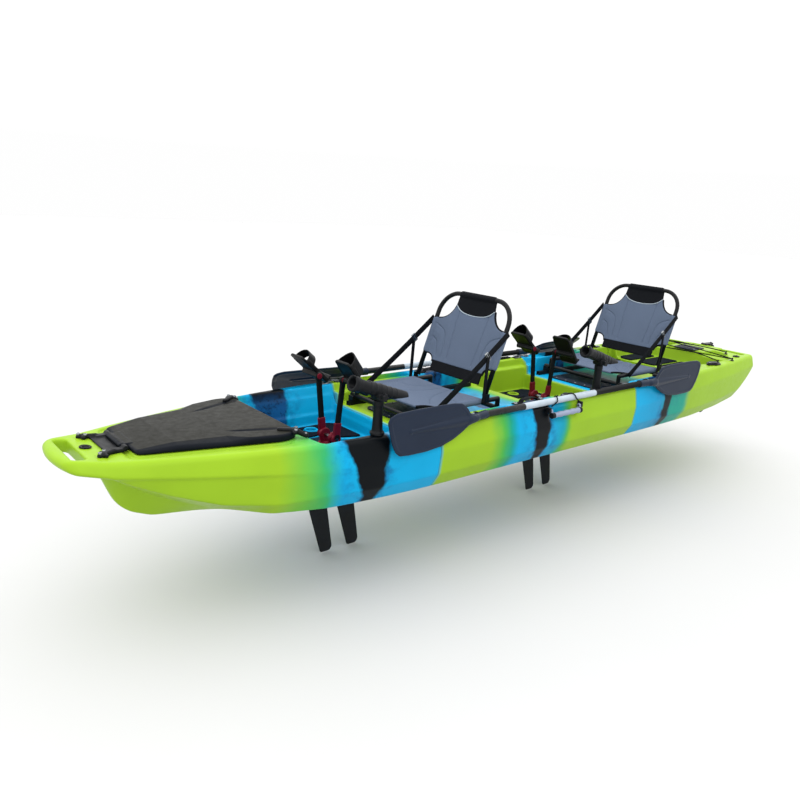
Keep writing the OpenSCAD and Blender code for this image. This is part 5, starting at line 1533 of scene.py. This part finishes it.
def yoke(x, y, z):
    a = np.abs(y)
    plan = smoothMin(rodField(x, 0 * y, z, (0, 0, drive["axle"]), (0, 0, 126), 27, 20),
                     rodField(x, 0 * y, z, (-26, 0, 114), (26, 0, 114), 8), 16)
    f = smoothMax(plan, np.abs(a - 32.5) - 6.4, 3)
    foot = boxField(x, y, z, (0, 0, 112), (35, 34, 5), 4)
    f = smoothMin(f, foot, 5)
    f = smoothMax(f, -np.maximum(away(x, z - 126) - 9, 30 - a), 3)
    rim = np.maximum(np.abs(away(x, z - drive["axle"]) - 20) - 3, np.abs(a - 39) - 2.5)
    return smoothMin(smoothMax(f, 107.4 - z, 1), rim, 2)


def mast(x, y, z):
    # One crank in its own frame, arm on +Y
    yy, high = y - drive["arm"], drive["crank"]
    wide = np.interp(z, [0, 60, high], [13.5, 12, 11])
    bar = np.maximum(np.abs(x) - wide, np.maximum(-z, z - high))
    bar = smoothMax(bar, np.abs(yy) - 7, 4)
    pocket = np.maximum(np.maximum(np.abs(x) - wide + 4.5, np.abs(z - 128) - 82), 5.2 - np.abs(yy))
    bar = smoothMax(bar, -pocket, 2)
    for cz, r in ((0, 20), (high, 16)):
        hub = smoothMax(away(x, z - cz) - r, np.abs(yy) - 7, 3)
        bar = smoothMin(bar, hub, 6)
    pin = np.maximum(away(x, z - high) - 5, np.maximum(43 - y, y - 164))
    return np.minimum(bar, pin)


def pedalField(x, y, z, hood):
    plan = planBox(x + 20, y, 85, 50, 14)
    tread = 16 + 2.0 * np.exp(-(((x + 300) % 19 - 9.5) / 4) ** 2) * (np.abs(y) < 40)
    f = smoothMax(plan, np.maximum(z - tread, 6 - z), 3)
    f = smoothMin(f, np.maximum(away(x, z) - 12, np.abs(y) - 50), 6)
    f = smoothMin(f, boxField(x, y, z, (60, 0, 24), (5, 48, 17), 4), 8)
    f = smoothMin(f, boxField(x, np.abs(y), z, (-10, 48, 15), (66, 3.5, 9), 3), 5)
    ring = away(y, (z - 12) * (0.84 if hood else 1.0)) - 47
    deep = 46 if hood else 21
    mouth = np.abs(x + 61) - deep + (0.25 * np.abs(y) if hood else 0)
    loop = np.maximum(np.maximum(np.abs(ring) - 2.4, mouth), 10 - z)
    f = smoothMin(f, loop, 4)
    return smoothMax(f, -np.maximum(away(x, z) - 5, np.abs(y) - 60), 1)


def finField(x, y, z):
    side = [(-40, -4), (40, -4), (53, -24), (103, -334), (92, -352), (43, -352), (-53, -24)]
    plan = blurred(polygonField(x, z, side), 3, (0, 2))
    lead = np.clip((x + 53 - (-24 - z) * 0.29) / 100, 0, 1)
    half = 1.6 + 3.4 * np.sqrt(np.clip(1 - lead, 0, 1)) * np.clip(1 + z / 520, 0.3, 1)
    f = smoothMax(plan, np.abs(y) - half, 3)
    tube = smoothMax(away(y, z) - 13, np.abs(x) - 38, 4)
    return smoothMin(f, tube, 8)


def driveSet():
    for which in ("front", "rear"):
        cx = driveX[which]
        obj = solid(which + "Yoke", (-48, -50, 100), (48, 50, 186), 2, 12000, yoke, at(cx, 0, 0))
        dress(obj, "drive_red", "hull", *once("drive_yokes"))
        for s, side in hands:
            body = which + "_" + side + "_crank"
            turn = Matrix.Rotation(math.radians(-s * drive["notch"]), 4, "Y")
            place = at(cx, 0, drive["axle"]) @ turn
            lo, hi = reachTo(s, (-26, 38, -26), (26, 170, 272))
            obj = solid(body + "Arm", lo, hi, 2.25, 9000, lambda x, y, z: mast(x, s * y, z), place)
            dress(obj, "drive_black", body, body)
            lo, hi = reachTo(s, (-24, 34, 222), (24, 66, 276))
            obj = solid(body + "Cap", lo, hi, 2, 3500,
                        lambda x, y, z: smoothMax(away(x, z - drive["crank"]) - 12.5,
                                                  np.abs(s * y - drive["arm"]) - 9.6, 2), place)
            dress(obj, "drive_red", body)
            lo, hi = reachTo(s, (-26, 38, -26), (26, 62, 80))
            obj = solid(body + "Clamp", lo, hi, 2, 4000,
                        lambda x, y, z: smoothMax(smoothMin(
                            away(x, z) - 21.5, planBox(x, z - 32, 15.5, 38, 4), 6),
                            np.abs(s * y - drive["arm"]) - 8.2, 3), place)
            dress(obj, "drive_red", body)
            tilt = Matrix.Rotation(math.radians(drive["tilt"]), 4, "Y")
            top = place @ at(0, s * drive["pedal"], drive["crank"]) @ tilt
            name = which + "_" + side + "_pedal"
            hood = (which == "front") == (s < 0)
            obj = solid(name + "Plate", (-116, -58, -18), (74, 58, 76), 2.25, 15000,
                        lambda x, y, z: pedalField(x, y, z, hood), top)
            dress(obj, "drive_black", name, name)
        for e, label in ((-1, "forward"), (1, "aft")):
            name = which + "_" + label + "_fin"
            obj = solid(name + "Blade", (-62, -18, -358), (112, 18, 18), 2.25, 9000, finField,
                        at(cx + e * drive["fin"], 0, drive["finZ"]))
            dress(obj, "fin_rubber", name, name)
        # base plate with bolts over the slot's ears, and the release lever
        obj = solid(which + "DrivePlate", (-60, -140, 92), (70, 140, 114), 2.25, 8000,
                    lambda x, y, z: smoothMax(
                        smoothMin(planBox(x - 2, y, 44, 128, 16), planBox(x, y, 52, 60, 14), 10),
                        np.abs(z - 101) - 5, 3), at(cx, 0, 0))
        dress(obj, "drive_black", "hull")
        spots = [at(cx + dx, s * 74, 106) for s in (-1, 1) for dx in (-18, 22)]
        dress(studs(which + "DriveBolts", spots, 6, 4), "bright_steel", "hull")
        obj = solid(which + "Release", (-30, -22, -12), (60, 22, 30), 2, 4000, lambda x, y, z: smoothMin(
            smoothMax(rodField(x, y, 0 * z, (0, 0, 0), (36, 0, 0), 13, 10), np.abs(z - 5) - 5, 4),
            boxField(x, y, z, (-12, 0, 10), (6, 14, 8), 4), 5), at(cx - 122, 0, 112))
        dress(obj, "lever_yellow", "hull", slot="drive_red")


driveSet()
print("drives made")


# Stage: camera at the photograph's angle, pale floor, soft light
view = {"eye": (-2612.4, -2386.6, 1117.0), "aim": (-556.2, 41.9, 242.8), "roll": 3.36, "lens": 29.06 * 1.13}


def makeCamera():
    eye, aim = Vector(view["eye"]) * mm, Vector(view["aim"]) * mm
    ahead = (aim - eye).normalized()
    right = ahead.cross(Vector((0, 0, 1))).normalized()
    up = right.cross(ahead)
    roll = math.radians(view["roll"])
    side, top = right * math.cos(roll) + up * math.sin(roll), up * math.cos(roll) - right * math.sin(roll)
    data = bpy.data.cameras.new("camera")
    data.lens, data.sensor_width, data.clip_end = view["lens"], 36, 100
    camera = bpy.data.objects.new("camera", data)
    turn = Matrix((side, top, -ahead)).transposed().to_4x4()
    camera.matrix_world = Matrix.Translation(eye) @ turn
    scene.collection.objects.link(camera)
    scene.camera = camera


def areaLight(name, place, aim, size, power):
    data = bpy.data.lights.new(name, "AREA")
    data.shape, data.size, data.size_y, data.energy = "RECTANGLE", size[0], size[1], power
    lamp = bpy.data.objects.new(name, data)
    lamp.location = place
    lamp.rotation_euler = (Vector(aim) - Vector(place)).to_track_quat("-Z", "Y").to_euler()
    scene.collection.objects.link(lamp)


# sky strength at the horizon and overhead, lamp in watts, floor grey
studio = {"horizon": 0.995, "zenith": 2.4, "lamp": 14, "floor": 0.52, "reach": 30}


def makeStage():
    world = bpy.data.worlds.new("studio")
    scene.world = world
    world.use_nodes = True
    tree = world.node_tree
    sky = tree.nodes["Background"]
    where = tree.nodes.new("ShaderNodeTexCoord")
    height = tree.nodes.new("ShaderNodeSeparateXYZ")
    rise = tree.nodes.new("ShaderNodeMapRange")
    for socket, value in zip(list(rise.inputs)[1:5], (0.05, 0.9, studio["horizon"], studio["zenith"])):
        socket.default_value = value
    tree.links.new(where.outputs["Generated"], height.inputs[0])
    tree.links.new(height.outputs[2], rise.inputs[0])
    tree.links.new(rise.outputs[0], sky.inputs["Strength"])
    sky.inputs["Color"].default_value = (1, 1, 1, 1)
    areaLight("bowSide", (-3.6, -3.2, 2.4), (-0.6, 0, 0.2), (2.4, 2.0), studio["lamp"])
    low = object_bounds()[0].z - 0.004
    r = studio["reach"]
    floor = meshObject("floor", [(-r, -r, low), (r, -r, low), (r, r, low), (-r, r, low)], [(0, 1, 2, 3)])
    pale = Finish("floorPaper", 0.9)
    where = pale.place()
    grey = [[studio["floor"] + d] * 3 + [1] for d in (0, 0.012)]
    paper = pale.ramp(pale.noise(where, 0.6), [(0.3, grey[0]), (0.7, grey[1])])
    pale.join(paper, pale.shader.inputs["Base Color"])
    pale.shader.inputs["Specular IOR Level"].default_value = 0.0
    floor.data.materials.append(pale.mat)
    scene.view_settings.view_transform = "Standard"


makeCamera()
makeStage()
print("stage ready")
